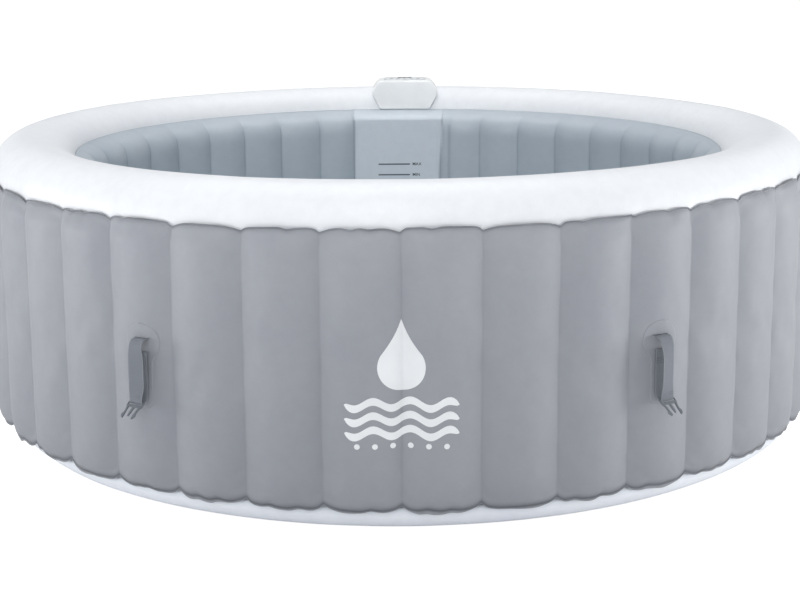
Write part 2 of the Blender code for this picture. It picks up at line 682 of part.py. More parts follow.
# ------------------------------------------------------------------ power cord and plug
def build_power_cord():
    ground_z = 0.0046
    hose("power_cord", [
        (CORD_X, CORD_Y, 0.075), (CORD_X, CORD_Y, 0.035), (0.102, 1.024, ground_z),
        (0.115, 1.060, ground_z), (0.170, 1.105, ground_z), (0.260, 1.120, ground_z),
        (0.340, 1.110, ground_z), (0.3895, 1.080, 0.0130),
    ], 0.0040, "rubber_black")


def build_plug():
    """The plug at the cord's end, its pins along local +X and a reset button on top."""
    place = (Matrix.Translation((0.4380, 1.0520, 0.0215))
             @ Matrix.Rotation(math.radians(-30), 4, "Z"))
    plug = placed_box("rcd_plug", (0.055, 0.029, 0.020), place, "abs_grey", bevel=0.006,
                      segments=2)
    cut(plug, placed_box("cut_reset_well", (0.0115, 0.0075, 0.009),
                         place @ Matrix.Translation((0, 0, 0.021))))
    for i, y in enumerate((-0.010, 0.010)):
        pin = rod(f"cut_pin_{i}", 0.0023, (0, 0, 0), (0, 0, 0.025), sides=10)
        pin.matrix_world = (place @ Matrix.Translation((0.0605, y, 0))
                            @ Matrix.Rotation(math.radians(90), 4, "Y"))
        cut(plug, pin, "UNION")
    placed_box("rcd_reset_button", (0.0105, 0.0065, 0.0031),
               place @ Matrix.Translation((0, 0, 0.0171)), "button_grey", bevel=0.001)


# ------------------------------------------------------------------ valves and floor drain
R_RIB = R_VALLEY + RIB_BULGE    # the wall's radius on a rib
VALVE_DEG, VALVE_Z = 166.5, 0.500
DRAIN_DEG, DRAIN_Z = -166.5, 0.115
PLUG_XY = (-0.260, 0.590)       # the floor drain


def cut_wall_hole(outer_wall, name, r, deg, z):
    cut(outer_wall, rod(name, r, polar(0.985, deg, z), polar(1.040, deg, z), sides=20))


def build_air_valve(outer_wall):
    cut_wall_hole(outer_wall, "cut_valve_hole", 0.0195, VALVE_DEG, VALVE_Z)
    profile = [(0.027, 0.0030), (0.027, 0.0012), (0.0180, 0.0006), (0.0180, -0.026),
               (0.0130, -0.026), (0.0130, 0.0095), (0.0165, 0.0100), (0.0175, 0.0040)]
    turned("air_valve_body", profile, 20, "abs_white", outward(R_RIB, VALVE_DEG, VALVE_Z))
    profile = [(0, 0.0002), (0.0190, 0.0002), (0.0200, -0.0010), (0.0195, -0.0043), (0, -0.0048)]
    turned("air_valve_cap", profile, 20, "abs_white",
           outward(R_RIB + 0.0155, VALVE_DEG, VALVE_Z))


def build_drain_valve(outer_wall):
    cut_wall_hole(outer_wall, "cut_drain_hole", 0.0165, DRAIN_DEG, DRAIN_Z)
    place = outward(R_RIB, DRAIN_DEG, DRAIN_Z)
    profile = [(0.028, 0.0032), (0.028, 0.0012), (0.0155, 0.0006), (0.0155, -0.030),
               (0.0115, -0.030), (0.0115, 0.0200), (0.0150, 0.0200), (0.0150, 0.0040)]
    turned("drain_valve_body", profile, 20, "abs_white", place)
    profile = [(0, 0.0240), (0.0190, 0.0240), (0.0205, 0.0225), (0.0205, 0.0050),
               (0.0158, 0.0050), (0.0158, 0.0206), (0, 0.0206)]
    turned("drain_valve_cap", profile, 20, "abs_grey", place)


def build_floor_drain(pool_floor):
    cut(pool_floor, rod("cut_floor_drain", 0.0205, (*PLUG_XY, -0.002), (*PLUG_XY, 0.020),
                        sides=20))
    profile = [(0, 0.0220), (0.006, 0.0220), (0.006, 0.0138), (0.026, 0.0125),
               (0.027, 0.0100), (0.0195, 0.0100), (0.0185, 0.0042), (0, 0.0042)]
    turned("drain_plug", profile, 20, "rubber_black", Matrix.Translation((*PLUG_XY, 0)))


# ------------------------------------------------------------------ build
build_rim()
outer_wall = build_outer_wall()
inner_wall = build_inner_wall()
build_base()
pool_floor = build_pool_floor()
build_tension_web()
build_bubble_tube()
build_level_panel()
build_recess(inner_wall)
build_handles()
build_cover()
build_console()
build_controller()
build_filter()
build_return_nozzle()
build_pump()
build_heater()
build_blower()
build_circuit_board()
build_power_cord()
build_plug()
build_air_valve(outer_wall)
build_drain_valve(outer_wall)
build_floor_drain(pool_floor)
bpy.context.view_layer.update()
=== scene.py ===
"""Inflatable hot tub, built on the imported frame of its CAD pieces.

Metres, +Z up, the tub stands on z = 0 about the origin. Angles are in degrees round Z from
the front (-Y), growing towards +X. The console and the flat pool panel are at the back (+Y).
"""
import json
import random
from contextlib import contextmanager
from math import (acos, atan2, copysign, cos, degrees, exp, floor, hypot, pi, radians, sin, sqrt,
                  tau)

import bmesh
import bpy
import numpy as np
from mathutils import Matrix, Vector, noise
from mathutils.bvhtree import BVHTree
from mathutils.geometry import delaunay_2d_cdt


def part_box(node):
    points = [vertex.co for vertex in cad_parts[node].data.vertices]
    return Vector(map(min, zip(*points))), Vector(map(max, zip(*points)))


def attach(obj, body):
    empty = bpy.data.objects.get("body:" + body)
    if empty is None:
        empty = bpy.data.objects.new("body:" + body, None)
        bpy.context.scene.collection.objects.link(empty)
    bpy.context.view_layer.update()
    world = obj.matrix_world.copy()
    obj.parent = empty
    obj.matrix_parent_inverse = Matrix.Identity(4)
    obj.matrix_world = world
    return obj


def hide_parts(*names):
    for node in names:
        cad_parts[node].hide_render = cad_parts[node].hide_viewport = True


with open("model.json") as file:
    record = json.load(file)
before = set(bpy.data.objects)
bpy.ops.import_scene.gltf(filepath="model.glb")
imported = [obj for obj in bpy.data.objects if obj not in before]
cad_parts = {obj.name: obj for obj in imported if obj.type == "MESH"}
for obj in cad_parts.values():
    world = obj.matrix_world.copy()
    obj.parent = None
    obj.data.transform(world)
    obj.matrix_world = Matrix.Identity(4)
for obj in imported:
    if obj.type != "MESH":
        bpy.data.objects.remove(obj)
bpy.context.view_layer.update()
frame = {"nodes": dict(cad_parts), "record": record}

random.seed(7)
scene = bpy.context.scene
NODES = frame["nodes"]
UP = Vector((0, 0, 1))

# ---------------------------------------------------------------- dimensions shared with the CAD
RIBS = 40
RIB_STEP = 360.0 / RIBS                 # degrees between weld lines
RIB_WIDTH = 0.157                       # metres between weld lines, rounded
WALL_TOP, WALL_LOW = 0.620, 0.058       # heights of the grey sheet's edges
WELD_RADIUS, WALL_BULGE = 1.000, 0.0205
WALL_TOP_RADIUS, WALL_LOW_RADIUS = 0.9945, 0.9995
CREST_RADIUS = 1.019                    # the wall at the crest of a rib
RIM_RADIUS, RIM_HEIGHT = 0.907, 0.6185  # centre of the rim's section
RIM_HALF_WIDTH, RIM_HALF_HEIGHT = 0.086, 0.0815
LINER_RADIUS, LINER_BULGE = 0.764, 0.0190
LINER_LOW = 0.0100
HANDLE_ANGLES = (-30.7, 30.7, 93.7, 147.7, -147.7, -93.7)
SHEET = 0.0011                          # thickness of the vinyl


# ---------------------------------------------------------------- small maths
def polar(radius, deg, z):
    angle = radians(deg)
    return Vector((radius * sin(angle), -radius * cos(angle), z))


def smooth01(x):
    x = max(0.0, min(1.0, x))
    return x * x * (3 - 2 * x)


def hump(x, width):
    """Bell curve: 1 at x = 0, 1/e at the width."""
    return exp(-((x / width) ** 2))


def ripple(x, y=0.0, z=0.0):
    return noise.noise(Vector((x, y, z)))


def billow(x, y, z):
    """Three octaves of noise."""
    return noise.fractal(Vector((x, y, z)), 1.0, 2.0, 3)


def from_weld(place):
    """Metres to the nearest weld line, from a place counted in ribs."""
    return (place - round(place)) * RIB_WIDTH


def inside_round_box(x, z, half_x, half_z, radius):
    """Distance inside a rounded rectangle about the origin."""
    over_x, over_z = abs(x) - (half_x - radius), abs(z) - (half_z - radius)
    return radius - hypot(max(over_x, 0), max(over_z, 0)) - min(max(over_x, over_z), 0)


# ---------------------------------------------------------------- materials
def rgb(*channels):
    """sRGB 0..255 to a linear colour with alpha."""
    shares = [c / 255.0 for c in channels]
    return tuple(c / 12.92 if c <= 0.04045 else ((c + 0.055) / 1.055) ** 2.4
                 for c in shares) + (1.0,)


def toned(colour, factor, extra=0.0):
    return tuple(min(1.0, c * factor + extra) for c in colour[:3]) + (1.0,)


class Shader:
    """A new material, with short calls that build its node tree."""

    def __init__(self, name):
        self.material = bpy.data.materials.new(name)
        self.material.use_nodes = True
        self.tree = self.material.node_tree
        self.surface = self.tree.nodes["Principled BSDF"]

    def node(self, kind, **settings):
        made = self.tree.nodes.new(kind)
        for key, value in settings.items():
            setattr(made, key, value)
        return made

    def feed(self, socket, value):
        """Sets a number or colour on a socket, or links an output to it."""
        if isinstance(value, (int, float, tuple)):
            socket.default_value = value
        else:
            self.tree.links.new(value, socket)

    def coords(self):
        return self.node("ShaderNodeTexCoord").outputs["Object"]

    def split(self, vector):
        made = self.node("ShaderNodeSeparateXYZ")
        self.feed(made.inputs[0], vector)
        return made.outputs

    def noise(self, scale, detail=3.0, rough=0.5, vector=None):
        made = self.node("ShaderNodeTexNoise")
        made.inputs["Scale"].default_value = scale
        made.inputs["Detail"].default_value = detail
        made.inputs["Roughness"].default_value = rough
        self.feed(made.inputs["Vector"], vector or self.coords())
        return made.outputs["Fac"]

    def cells(self, scale, feature, randomness=1.0):
        made = self.node("ShaderNodeTexVoronoi", feature=feature)
        made.inputs["Scale"].default_value = scale
        made.inputs["Randomness"].default_value = randomness
        self.feed(made.inputs["Vector"], self.coords())
        return made.outputs["Distance"]

    def ramp(self, factor, *stops):
        made = self.node("ShaderNodeValToRGB")
        elements = made.color_ramp.elements
        while len(elements) < len(stops):
            elements.new(0.5)
        for i, (position, colour) in enumerate(stops):
            elements[i].position, elements[i].color = position, colour
        self.feed(made.inputs["Fac"], factor)
        return made.outputs["Color"]

    def maths(self, operation, first, second=0.0, clamp=False):
        made = self.node("ShaderNodeMath", operation=operation, use_clamp=clamp)
        for socket, value in zip(made.inputs, (first, second, 0.0)):
            self.feed(socket, value)
        return made.outputs[0]

    def plus(self, first, second):
        return self.maths("ADD", first, second)

    def times(self, first, second, clamp=False):
        return self.maths("MULTIPLY", first, second, clamp)

    def around(self, field, middle, spread):
        """A 0..1 field scaled to a spread about a middle value."""
        return self.plus(self.times(field, spread), middle - spread / 2)

    def below(self, height):
        """1 at z = 0, falling to 0 at the height."""
        share = self.maths("DIVIDE", self.split(self.coords())["Z"], height)
        return self.maths("SUBTRACT", 1.0, share, clamp=True)

    def mix(self, factor, first, second, mode="MIX"):
        made = self.node("ShaderNodeMix", data_type="RGBA", blend_type=mode)
        for i, value in ((0, factor), (6, first), (7, second)):
            self.feed(made.inputs[i], value)
        return made.outputs[2]

    def bump(self, height, strength, distance, normal=None):
        made = self.node("ShaderNodeBump")
        made.inputs["Strength"].default_value = strength
        made.inputs["Distance"].default_value = distance
        self.feed(made.inputs["Height"], height)
        if normal is not None:
            self.feed(made.inputs["Normal"], normal)
        return made.outputs["Normal"]

    def attribute(self, name):
        return self.node("ShaderNodeAttribute", attribute_name=name).outputs["Fac"]

    def set(self, **sockets):
        for key, value in sockets.items():
            self.feed(self.surface.inputs[key.replace("_", " ")], value)


def vinyl(name, base, dark, light, weld, rough, grain, grain_size=0.0012,
          sheen=0.0, coat=0.0, dirt=0.0, low_shade=0.0, lit_band=None):
    """Laminated vinyl: pebbled grain, slow colour drift, uneven gloss; painted shade darkens it
    along its seams, painted light lightens a band.
    """
    made = Shader(name)
    dark = rgb(*dark)
    drift = made.noise(3.2, rough=0.55)
    tone = made.ramp(drift, (0.30, dark), (0.52, rgb(*base)), (0.74, rgb(*light)))
    mottle = made.noise(46.0, detail=4.0, rough=0.6)
    spots = made.ramp(mottle, (0.35, (0.965, 0.965, 0.968, 1)), (0.65, (1.02, 1.02, 1.02, 1)))
    tone = made.mix(0.6, tone, made.mix(1.0, tone, spots, "MULTIPLY"))
    # painted light: the liner's top band, turned up towards the light, drawn paler
    if lit_band is not None:
        tone = made.mix(made.attribute("lit_band"), tone, rgb(*lit_band))
    # painted shade: the weld colour darkens the seams, their creases and the undersides of their
    # lips
    tone = made.mix(made.attribute("weld"), tone, rgb(*weld))
    if dirt:
        patches = made.times(made.noise(14.0, detail=5.0, rough=0.7), dirt)
        tone = made.mix(made.times(made.below(0.10), patches), tone, toned(dark, 0.72))
    if low_shade:                            # painted shade: darker towards the bottom, where less light falls from above
        tone = made.mix(made.times(made.below(0.52), low_shade), tone, toned(dark, 0.5))
    pebbles = made.times(made.cells(1.0 / grain_size, "SMOOTH_F1"), 0.7)
    fine = made.times(made.noise(0.62 / grain_size, detail=2.0, rough=0.6), 0.5)
    soft = made.bump(made.noise(16.0), strength=0.12, distance=0.0007)
    normal = made.bump(made.plus(pebbles, fine), grain, distance=0.00035, normal=soft)
    made.set(Base_Color=tone, Normal=normal,
             Roughness=made.around(made.noise(22.0, rough=0.6), rough, spread=0.14),
             Sheen_Weight=sheen, Sheen_Roughness=0.4, Coat_Weight=coat, Coat_Roughness=0.25,
             Specular_IOR_Level=0.45)
    return made.material


def plastic(name, colour, rough, grain, grain_size, coat, wear):
    """Moulded plastic: fine texture, slight colour drift, edges rubbed a little lighter."""
    made = Shader(name)
    colour = rgb(*colour)
    tone = made.ramp(made.noise(11.0), (0.35, toned(colour, 0.955)), (0.65, toned(colour, 1.03)))
    edge = made.node("ShaderNodeBevel", samples=4)
    edge.inputs["Radius"].default_value = 0.0012
    geometry = made.node("ShaderNodeNewGeometry")
    dot = made.node("ShaderNodeVectorMath", operation="DOT_PRODUCT")
    made.feed(dot.inputs[0], edge.outputs[0])
    made.feed(dot.inputs[1], geometry.outputs["Normal"])
    turned = made.maths("SUBTRACT", 1.0, dot.outputs["Value"], clamp=True)
    worn = made.times(turned, wear * 6.0, clamp=True)
    tone = made.mix(worn, tone, toned(colour, 1.25, extra=0.02))
    texture = made.noise(1.0 / grain_size, rough=0.65)
    made.set(Base_Color=tone, Normal=made.bump(texture, grain, distance=0.00012),
             Roughness=made.around(made.noise(35.0, rough=0.6), rough, spread=0.12),
             Coat_Weight=coat, Coat_Roughness=0.12)
    return made.material


def steel():
    """Brushed steel, streaked along Z."""
    made = Shader("brushed_steel")
    mapping = made.node("ShaderNodeMapping")
    mapping.inputs["Scale"].default_value = (6.0, 6.0, 0.15)
    made.feed(mapping.inputs["Vector"], made.coords())
    streak = made.noise(60.0, detail=4.0, rough=0.6, vector=mapping.outputs["Vector"])
    tone = made.ramp(streak, (0.3, (0.50, 0.51, 0.52, 1)), (0.7, (0.68, 0.69, 0.70, 1)))
    made.set(Base_Color=tone, Metallic=1.0,
             Roughness=made.around(streak, 0.30, spread=0.20),
             Normal=made.bump(streak, strength=0.12, distance=0.0001))
    return made.material


def webbing():
    """Woven tape, by the UV map "tape": u across and v along, both in millimetres."""
    across_pitch, along_pitch, border = 1.6, 1.9, 14.2
    made = Shader("webbing")
    tape = made.split(made.node("ShaderNodeUVMap", uv_map="tape").outputs[0])
    across = made.times(tape["X"], tau / across_pitch)
    along = made.times(tape["Y"], tau / along_pitch)
    slanted = made.maths("SINE", made.plus(along, made.times(across, 0.5)))
    weave = made.times(made.maths("SINE", across), slanted)
    fine = made.noise(900.0, rough=0.7)
    height = made.plus(made.times(weave, 0.5), made.times(fine, 0.45))
    tone = made.ramp(made.plus(made.times(weave, 0.5), 0.5),
                     (0.1, rgb(114, 120, 129)), (0.9, rgb(136, 141, 149)))
    band = made.maths("GREATER_THAN", made.maths("ABSOLUTE", tape["X"]), border)
    tone = made.mix(band, tone, rgb(142, 147, 154))
    stain = made.times(made.noise(40.0, rough=0.6), 0.25)
    tone = made.mix(stain, tone, rgb(116, 122, 130))
    made.set(Base_Color=tone, Roughness=0.86,
             Normal=made.bump(height, strength=0.75, distance=0.0004),
             Sheen_Weight=0.10, Sheen_Roughness=0.6, Specular_IOR_Level=0.3)
    return made.material


def scrim():
    """Mesh fabric of small even cells."""
    made = Shader("scrim_fabric")
    weave = made.cells(420.0, "F1", randomness=0.15)
    tone = made.ramp(weave, (0.2, rgb(196, 199, 203)), (0.6, rgb(222, 224, 226)))
    made.set(Base_Color=tone, Roughness=0.85,
             Normal=made.bump(weave, strength=0.5, distance=0.0004))
    return made.material


# each weld colour is the painted shade in that vinyl's seams and creases
VINYLS = {
    "wall": dict(base=(153, 156, 163), dark=(149, 152, 160), light=(157, 160, 166),
                 weld=(96, 100, 107), rough=0.56, grain=0.30, grain_size=0.0011,
                 sheen=0.10, dirt=0.25, low_shade=0.22),
    "rim": dict(base=(233, 236, 240), dark=(230, 233, 238), light=(236, 238, 241),
                weld=(210, 214, 221), rough=0.46, grain=0.16, coat=0.06),
    "base": dict(base=(240, 244, 251), dark=(236, 240, 249), light=(243, 246, 252),
                 weld=(206, 213, 224), rough=0.50, grain=0.18, dirt=0.08),
    # a lighter copy of the liner's vinyl: painted light on the flat panel, which faces the front
    # light
    "panel": dict(base=(201, 210, 218), dark=(198, 207, 215), light=(204, 212, 220),
                  weld=(112, 125, 139), rough=0.44, grain=0.16, coat=0.05, lit_band=(226, 232, 238)),
    "liner": dict(base=(174, 184, 193), dark=(170, 180, 190), light=(178, 187, 196),
                  weld=(120, 133, 147), rough=0.44, grain=0.16, coat=0.05, lit_band=(226, 232, 238)),
}
# look, material, colour, roughness, grain strength, grain size, coat, edge wear
PLASTICS = (
    ("abs_white", "white_moulding", (249, 251, 252), 0.34, 0.06, 0.0010, 0.10, 0.12),
    ("abs_grey", "grey_moulding", (136, 139, 144), 0.50, 0.18, 0.0008, 0.0, 0.12),
    ("tray_grey", "controller_moulding", (222, 225, 228), 0.42, 0.12, 0.0008, 0.0, 0.12),
    ("dark_face", "dark_face", (34, 37, 42), 0.16, 0.02, 0.0010, 0.5, 0.03),
    ("key", "key_plastic", (196, 200, 204), 0.42, 0.10, 0.0006, 0.0, 0.12),
    ("buckle", "buckle_acetal", (112, 117, 125), 0.38, 0.12, 0.0006, 0.0, 0.12),
    ("hose", "hose_plastic", (150, 152, 155), 0.45, 0.10, 0.0012, 0.0, 0.12),
    ("rubber", "black_rubber", (44, 45, 47), 0.62, 0.20, 0.0009, 0.0, 0.05),
    ("paper", "filter_paper", (232, 233, 230), 0.92, 0.55, 0.0012, 0.0, 0.0),
    ("board", "circuit_board", (24, 100, 62), 0.40, 0.12, 0.0015, 0.0, 0.12),
    ("print_white", "white_print", (232, 235, 238), 0.48, 0.16, 0.0011, 0.0, 0.0),
    ("mark_dark", "level_print", (72, 80, 90), 0.50, 0.10, 0.0010, 0.0, 0.0),
    ("legend_white", "legend_print", (226, 232, 236), 0.45, 0.02, 0.0010, 0.0, 0.0),
    ("legend_dark", "legend_dark_print", (60, 66, 74), 0.45, 0.02, 0.0010, 0.0, 0.0),
    ("thread", "stitch_thread", (96, 101, 109), 0.85, 0.3, 0.0004, 0.0, 0.0),
    # painted shadow: inside the straps' slots and in the screws' cross recesses
    ("gap", "slot_shadow", (58, 61, 66), 0.9, 0.05, 0.0010, 0.0, 0.0),
)
LOOKS = {look: vinyl(look + "_vinyl", **values) for look, values in VINYLS.items()}
LOOKS.update({look: plastic(*values) for look, *values in PLASTICS})
LOOKS.update(steel=steel(), webbing=webbing(), scrim=scrim())

SLOT_LOOK = {
    "rim_pvc": "rim", "wall_pvc": "wall", "liner_pvc": "liner", "web_fabric": "scrim",
    "webbing": "webbing", "buckle_plastic": "buckle", "abs_white": "abs_white",
    "abs_grey": "abs_grey", "panel_dark": "dark_face", "button_grey": "key",
    "rubber_black": "rubber", "steel": "steel", "hose_grey": "hose",
    "filter_paper": "paper", "board_green": "board",
}


# ---------------------------------------------------------------- mesh helpers
def deliver(obj, rides="tub", replaces=None):
    """Tells the frame which part the object rides on and the CAD piece it replaces."""
    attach(obj, rides)
    if replaces:
        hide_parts(replaces)


def add_object(name, mesh, look=None):
    obj = bpy.data.objects.new(name, mesh)
    scene.collection.objects.link(obj)
    if look:
        mesh.materials.clear()
        mesh.materials.append(LOOKS[look])
    return obj


def raw_mesh(name, verts, faces):
    mesh = bpy.data.meshes.new(name)
    mesh.from_pydata([tuple(v) for v in verts], [], faces)
    return mesh


def shade(mesh, sharp=None):
    """Smooth shading, with edges sharper than the angle (degrees) kept crisp."""
    mesh.polygons.foreach_set("use_smooth", [True] * len(mesh.polygons))
    if sharp:
        mesh.set_sharp_from_angle(angle=radians(sharp))


def mesh_object(name, verts, faces, look=None, smooth=True):
    mesh = raw_mesh(name, verts, faces)
    mesh.validate()
    mesh.update()
    if smooth:
        shade(mesh)
    return add_object(name, mesh, look)


@contextmanager
def editing(mesh):
    work = bmesh.new()
    work.from_mesh(mesh)
    yield work
    work.to_mesh(mesh)
    work.free()


def face_outwards(mesh):
    with editing(mesh) as work:
        bmesh.ops.recalc_face_normals(work, faces=work.faces)


def point_attribute(obj, name, values):
    layer = obj.data.attributes.new(name, "FLOAT", "POINT")
    layer.data.foreach_set("value", values)


def swap_mesh(obj, mesh):
    old = obj.data
    obj.data = mesh
    bpy.data.meshes.remove(old)
    mesh.name = obj.name


def bake(obj):
    """Applies every modifier into the mesh."""
    graph = bpy.context.evaluated_depsgraph_get()
    mesh = bpy.data.meshes.new_from_object(obj.evaluated_get(graph),
                                           preserve_all_data_layers=True, depsgraph=graph)
    obj.modifiers.clear()
    swap_mesh(obj, mesh)


def subdivide(obj):
    modifier = obj.modifiers.new("smooth", "SUBSURF")
    modifier.levels = modifier.render_levels = 1
    bake(obj)


def thicken(obj, thickness=SHEET):
    """Gives a skin its thickness, behind its face."""
    modifier = obj.modifiers.new("sheet", "SOLIDIFY")
    modifier.thickness, modifier.offset = thickness, -1.0
    bake(obj)


def discard(obj):
    mesh = obj.data
    bpy.data.objects.remove(obj)
    bpy.data.meshes.remove(mesh)


def grid_mesh(rows, closed=False):
    """Vertices and faces of rows of points; closed joins the last column to the first."""
    n = len(rows[0])
    verts = [point for row in rows for point in row]
    faces = []
    for i in range(len(rows) - 1):
        for j in range(n if closed else n - 1):
            k = (j + 1) % n
            faces.append((i * n + j, i * n + k, (i + 1) * n + k, (i + 1) * n + j))
    return verts, faces


def ray_tree(*objects):
    """One ray-casting tree over the objects."""
    graph = bpy.context.evaluated_depsgraph_get()
    work = bmesh.new()
    for obj in objects:
        mesh = bpy.data.meshes.new_from_object(obj.evaluated_get(graph))
        mesh.transform(obj.matrix_world)
        work.from_mesh(mesh)
        bpy.data.meshes.remove(mesh)
    tree = BVHTree.FromBMesh(work)
    work.free()
    return tree


def crease_lines(obj, marked, value):
    """Keeps the edges between marked points crisp when the surface is refined."""
    mesh = obj.data
    layer = mesh.attributes.new("crease_edge", "FLOAT", "EDGE")
    pairs = np.empty(len(mesh.edges) * 2, dtype=np.int32)
    mesh.edges.foreach_get("vertices", pairs)
    pairs = pairs.reshape(-1, 2)
    mark = np.zeros(len(mesh.vertices), dtype=bool)
    mark[list(marked)] = True
    both = mark[pairs[:, 0]] & mark[pairs[:, 1]]
    layer.data.foreach_set("value", np.where(both, value, 0.0).astype(np.float32))


# ---------------------------------------------------------------- inflation
CLOTH = dict(
    quality=5, mass=0.35,
    tension_stiffness=45.0, compression_stiffness=45.0, shear_stiffness=18.0,
    bending_stiffness=0.35,
    tension_damping=12.0, compression_damping=12.0, shear_damping=12.0, bending_damping=0.5,
    air_damping=6.0,
    shrink_min=-0.003,                  # negative: the sheet grows
    vertex_group_mass="welds", pin_stiffness=1.0, use_pressure=True,
)
CLOTH_FRAMES = 16


def inflate(obj, pins, pressure, farthest):
    """Blows the sheet up between its pinned welds; no point moves beyond the farthest."""
    rest = np.empty(len(obj.data.vertices) * 3)
    obj.data.vertices.foreach_get("co", rest)
    rest = rest.reshape(-1, 3)
    group = obj.vertex_groups.new(name="welds")
    for i, weight in pins.items():
        group.add([i], weight, "REPLACE")
    cloth = obj.modifiers.new("air", "CLOTH")
    for key, value in CLOTH.items():
        setattr(cloth.settings, key, value)
    cloth.settings.uniform_pressure_force = pressure
    cloth.settings.effector_weights.gravity = 0.0
    cloth.collision_settings.use_collision = False
    cloth.collision_settings.use_self_collision = False
    cloth.point_cache.frame_start, cloth.point_cache.frame_end = 1, CLOTH_FRAMES + 1
    scene.frame_start, scene.frame_end = 1, CLOTH_FRAMES + 1
    for i in range(1, CLOTH_FRAMES + 1):
        scene.frame_set(i)
    graph = bpy.context.evaluated_depsgraph_get()
    mesh = obj.evaluated_get(graph).to_mesh()
    blown = np.empty(len(mesh.vertices) * 3)
    mesh.vertices.foreach_get("co", blown)
    blown = blown.reshape(-1, 3)
    obj.modifiers.clear()
    move = blown - rest
    length = np.linalg.norm(move, axis=1, keepdims=True)
    move *= np.minimum(1.0, farthest / np.maximum(length, 1e-9))
    obj.data.vertices.foreach_set("co", (rest + move).ravel())
    obj.data.update()
    scene.frame_set(1)


def weld_shift(k, z):
    """A weld line is never quite straight: its shift along the wall, in degrees."""
    return 0.16 * ripple(k * 3.7, z * 3.1, 0.5) + 0.05 * ripple(k * 9.1, z * 11.0, 4.0)


def arch(share):
    """Round section of a rib: 0 at its weld lines and 1 in the middle."""
    chord, rise = 0.5, 0.155            # half chord and rise, as shares of the chord
    radius = (chord * chord + rise * rise) / (2 * rise)
    x = share - 0.5
    return max(0.0, (sqrt(max(0.0, radius * radius - x * x)) - (radius - rise)) / rise)


def swell(z, low, high, high_reach, low_reach):
    """Rounds a rib off towards its two ends."""
    share = max(0.0, min(1.0, min((high - z) / high_reach, (z - low) / low_reach)))
    return sqrt(max(0.0, 1 - (1 - share) ** 2))


def squeeze(deg):
    """How much fuller the rim stands towards the pool, at the two sides."""
    return 0.026 * hump(deg + 76, 24) + 0.034 * hump(deg - 78, 26)


# ---------------------------------------------------------------- the outer wall
TOP_EDGE, LOW_EDGE = 1, -1
# columns of the sheet within a rib, as shares of its width
WALL_SHARES = (0.0, 0.028, 0.075, 0.145, 0.225, 0.300, 0.375, 0.450, 0.525, 0.600, 0.675,
               0.750, 0.840, 0.925, 0.972)
# where extra notches may fall, as shares of a rib: one group of places for each notch
NOTCH_PLACES = ((0.225, 0.300, 0.375), (0.525, 0.600, 0.675))
# the seam under the rim: angle, height above its nominal level
SEAM_DIP = (
    (-150, 0), (-90, -0.008), (-50, -0.012), (-37, -0.009), (-28, -0.0095), (-20, -0.0095),
    (-13, -0.007), (-7, -0.006), (0, -0.003), (7, -0.0035), (14, -0.0045), (20, -0.003),
    (28, -0.0010), (37, 0.002), (50, 0.0045), (90, 0.003), (150, 0),
)
# steps of the welded lips, from the sheet outwards: radial offset, vertical offset
TOP_LIP = ((0.0012, 0.0010), (0.0026, 0.0026), (0.0014, 0.0044))
LOW_LIP = ((-0.0018, -0.0016), (0.0004, -0.0032), (0.0026, -0.0062), (0.0022, -0.0100))
# painted shade at the welds, by row: from the lowest lip row to the sheet's first row, and at the
# top
LOW_SEAM_SHADES, TOP_SEAM_SHADES = [0.10, 0.14, 0.62, 1.0, 0.72], [0.30, 0.60, 0.75, 0.70]


def seam_dip(deg):
    deg = (deg + 180) % 360 - 180
    return float(np.interp(deg, *zip(*SEAM_DIP)))


def notch(off, depth, left, right):
    """A dip at 0, with its own width on each side."""
    width = left if off < 0 else right
    return depth * exp(-abs(off / width) ** 1.5)


def sheet_edge(deg, edge):
    """How far the welded edge of the grey sheet runs above its nominal height."""
    nearest = round(deg / RIB_STEP)
    rib = floor(deg / RIB_STEP)
    share = (deg / RIB_STEP) % 1.0
    rise = 0.0
    for k in (nearest - 1, nearest, nearest + 1):
        off = (deg - k * RIB_STEP) / RIB_STEP * RIB_WIDTH
        turn = ripple(k * 7.3, edge * 3.1, 5.0)
        if edge == TOP_EDGE:
            depth = 0.0078 + 0.0045 * ripple(k * 4.1, 1.0, 9.0)
            short = 0.0045 + 0.002 * abs(ripple(k * 1.9, 4.0))
            long = 0.0170 + 0.010 * ripple(k * 6.7, 3.0)
        else:
            depth = 0.0105 + 0.0050 * ripple(k * 5.9, 2.0, 7.0)
            short = 0.0070 + 0.003 * abs(ripple(k * 2.9, 8.0))
            long = 0.0140 + 0.008 * ripple(k * 3.7, 6.0)
        widths = (short, long) if turn > 0 else (long, short)
        rise -= edge * notch(off, depth, *widths)
        if edge == TOP_EDGE and ripple(k * 12.7, 8.8) > 0.18:
            # here and there the fold at a weld line stands up as a small ear
            rise += 0.0085 * hump(off + 0.004 * turn, 0.0042)
    threshold = 0.06 if edge == TOP_EDGE else -0.12
    for m, places in enumerate(NOTCH_PLACES):
        place = places[int(1.5 + 2.9 * ripple(rib * 8.9 + m * 3.3, 6.3, edge)) % 3]
        if ripple(rib * 5.7 + m * 9.1, 2.5, edge * 4.0) > threshold:
            depth = 0.0048 + 0.0022 * ripple(rib * 3.1, m * 5.0)
            rise -= edge * notch((share - place) * RIB_WIDTH, depth, 0.0055, 0.0120)
    sway = ripple(rib * 5.3, edge * 7.7, 2.0) * (share - 0.5)
    bow = sin(pi * share)
    if edge == TOP_EDGE:
        return rise + 0.0022 * bow + 0.0052 * sway + 0.0010 * ripple(deg * 0.9, 3.0)
    return (rise - 0.0030 * bow + 0.0040 * ripple(rib * 5.3, edge * 7.7, 2.0)
            + 0.0012 * ripple(deg * 0.8, 13.0)) if False else (
        rise - 0.0030 * bow + 0.0040 * sway + 0.0012 * ripple(deg * 0.8, 13.0))


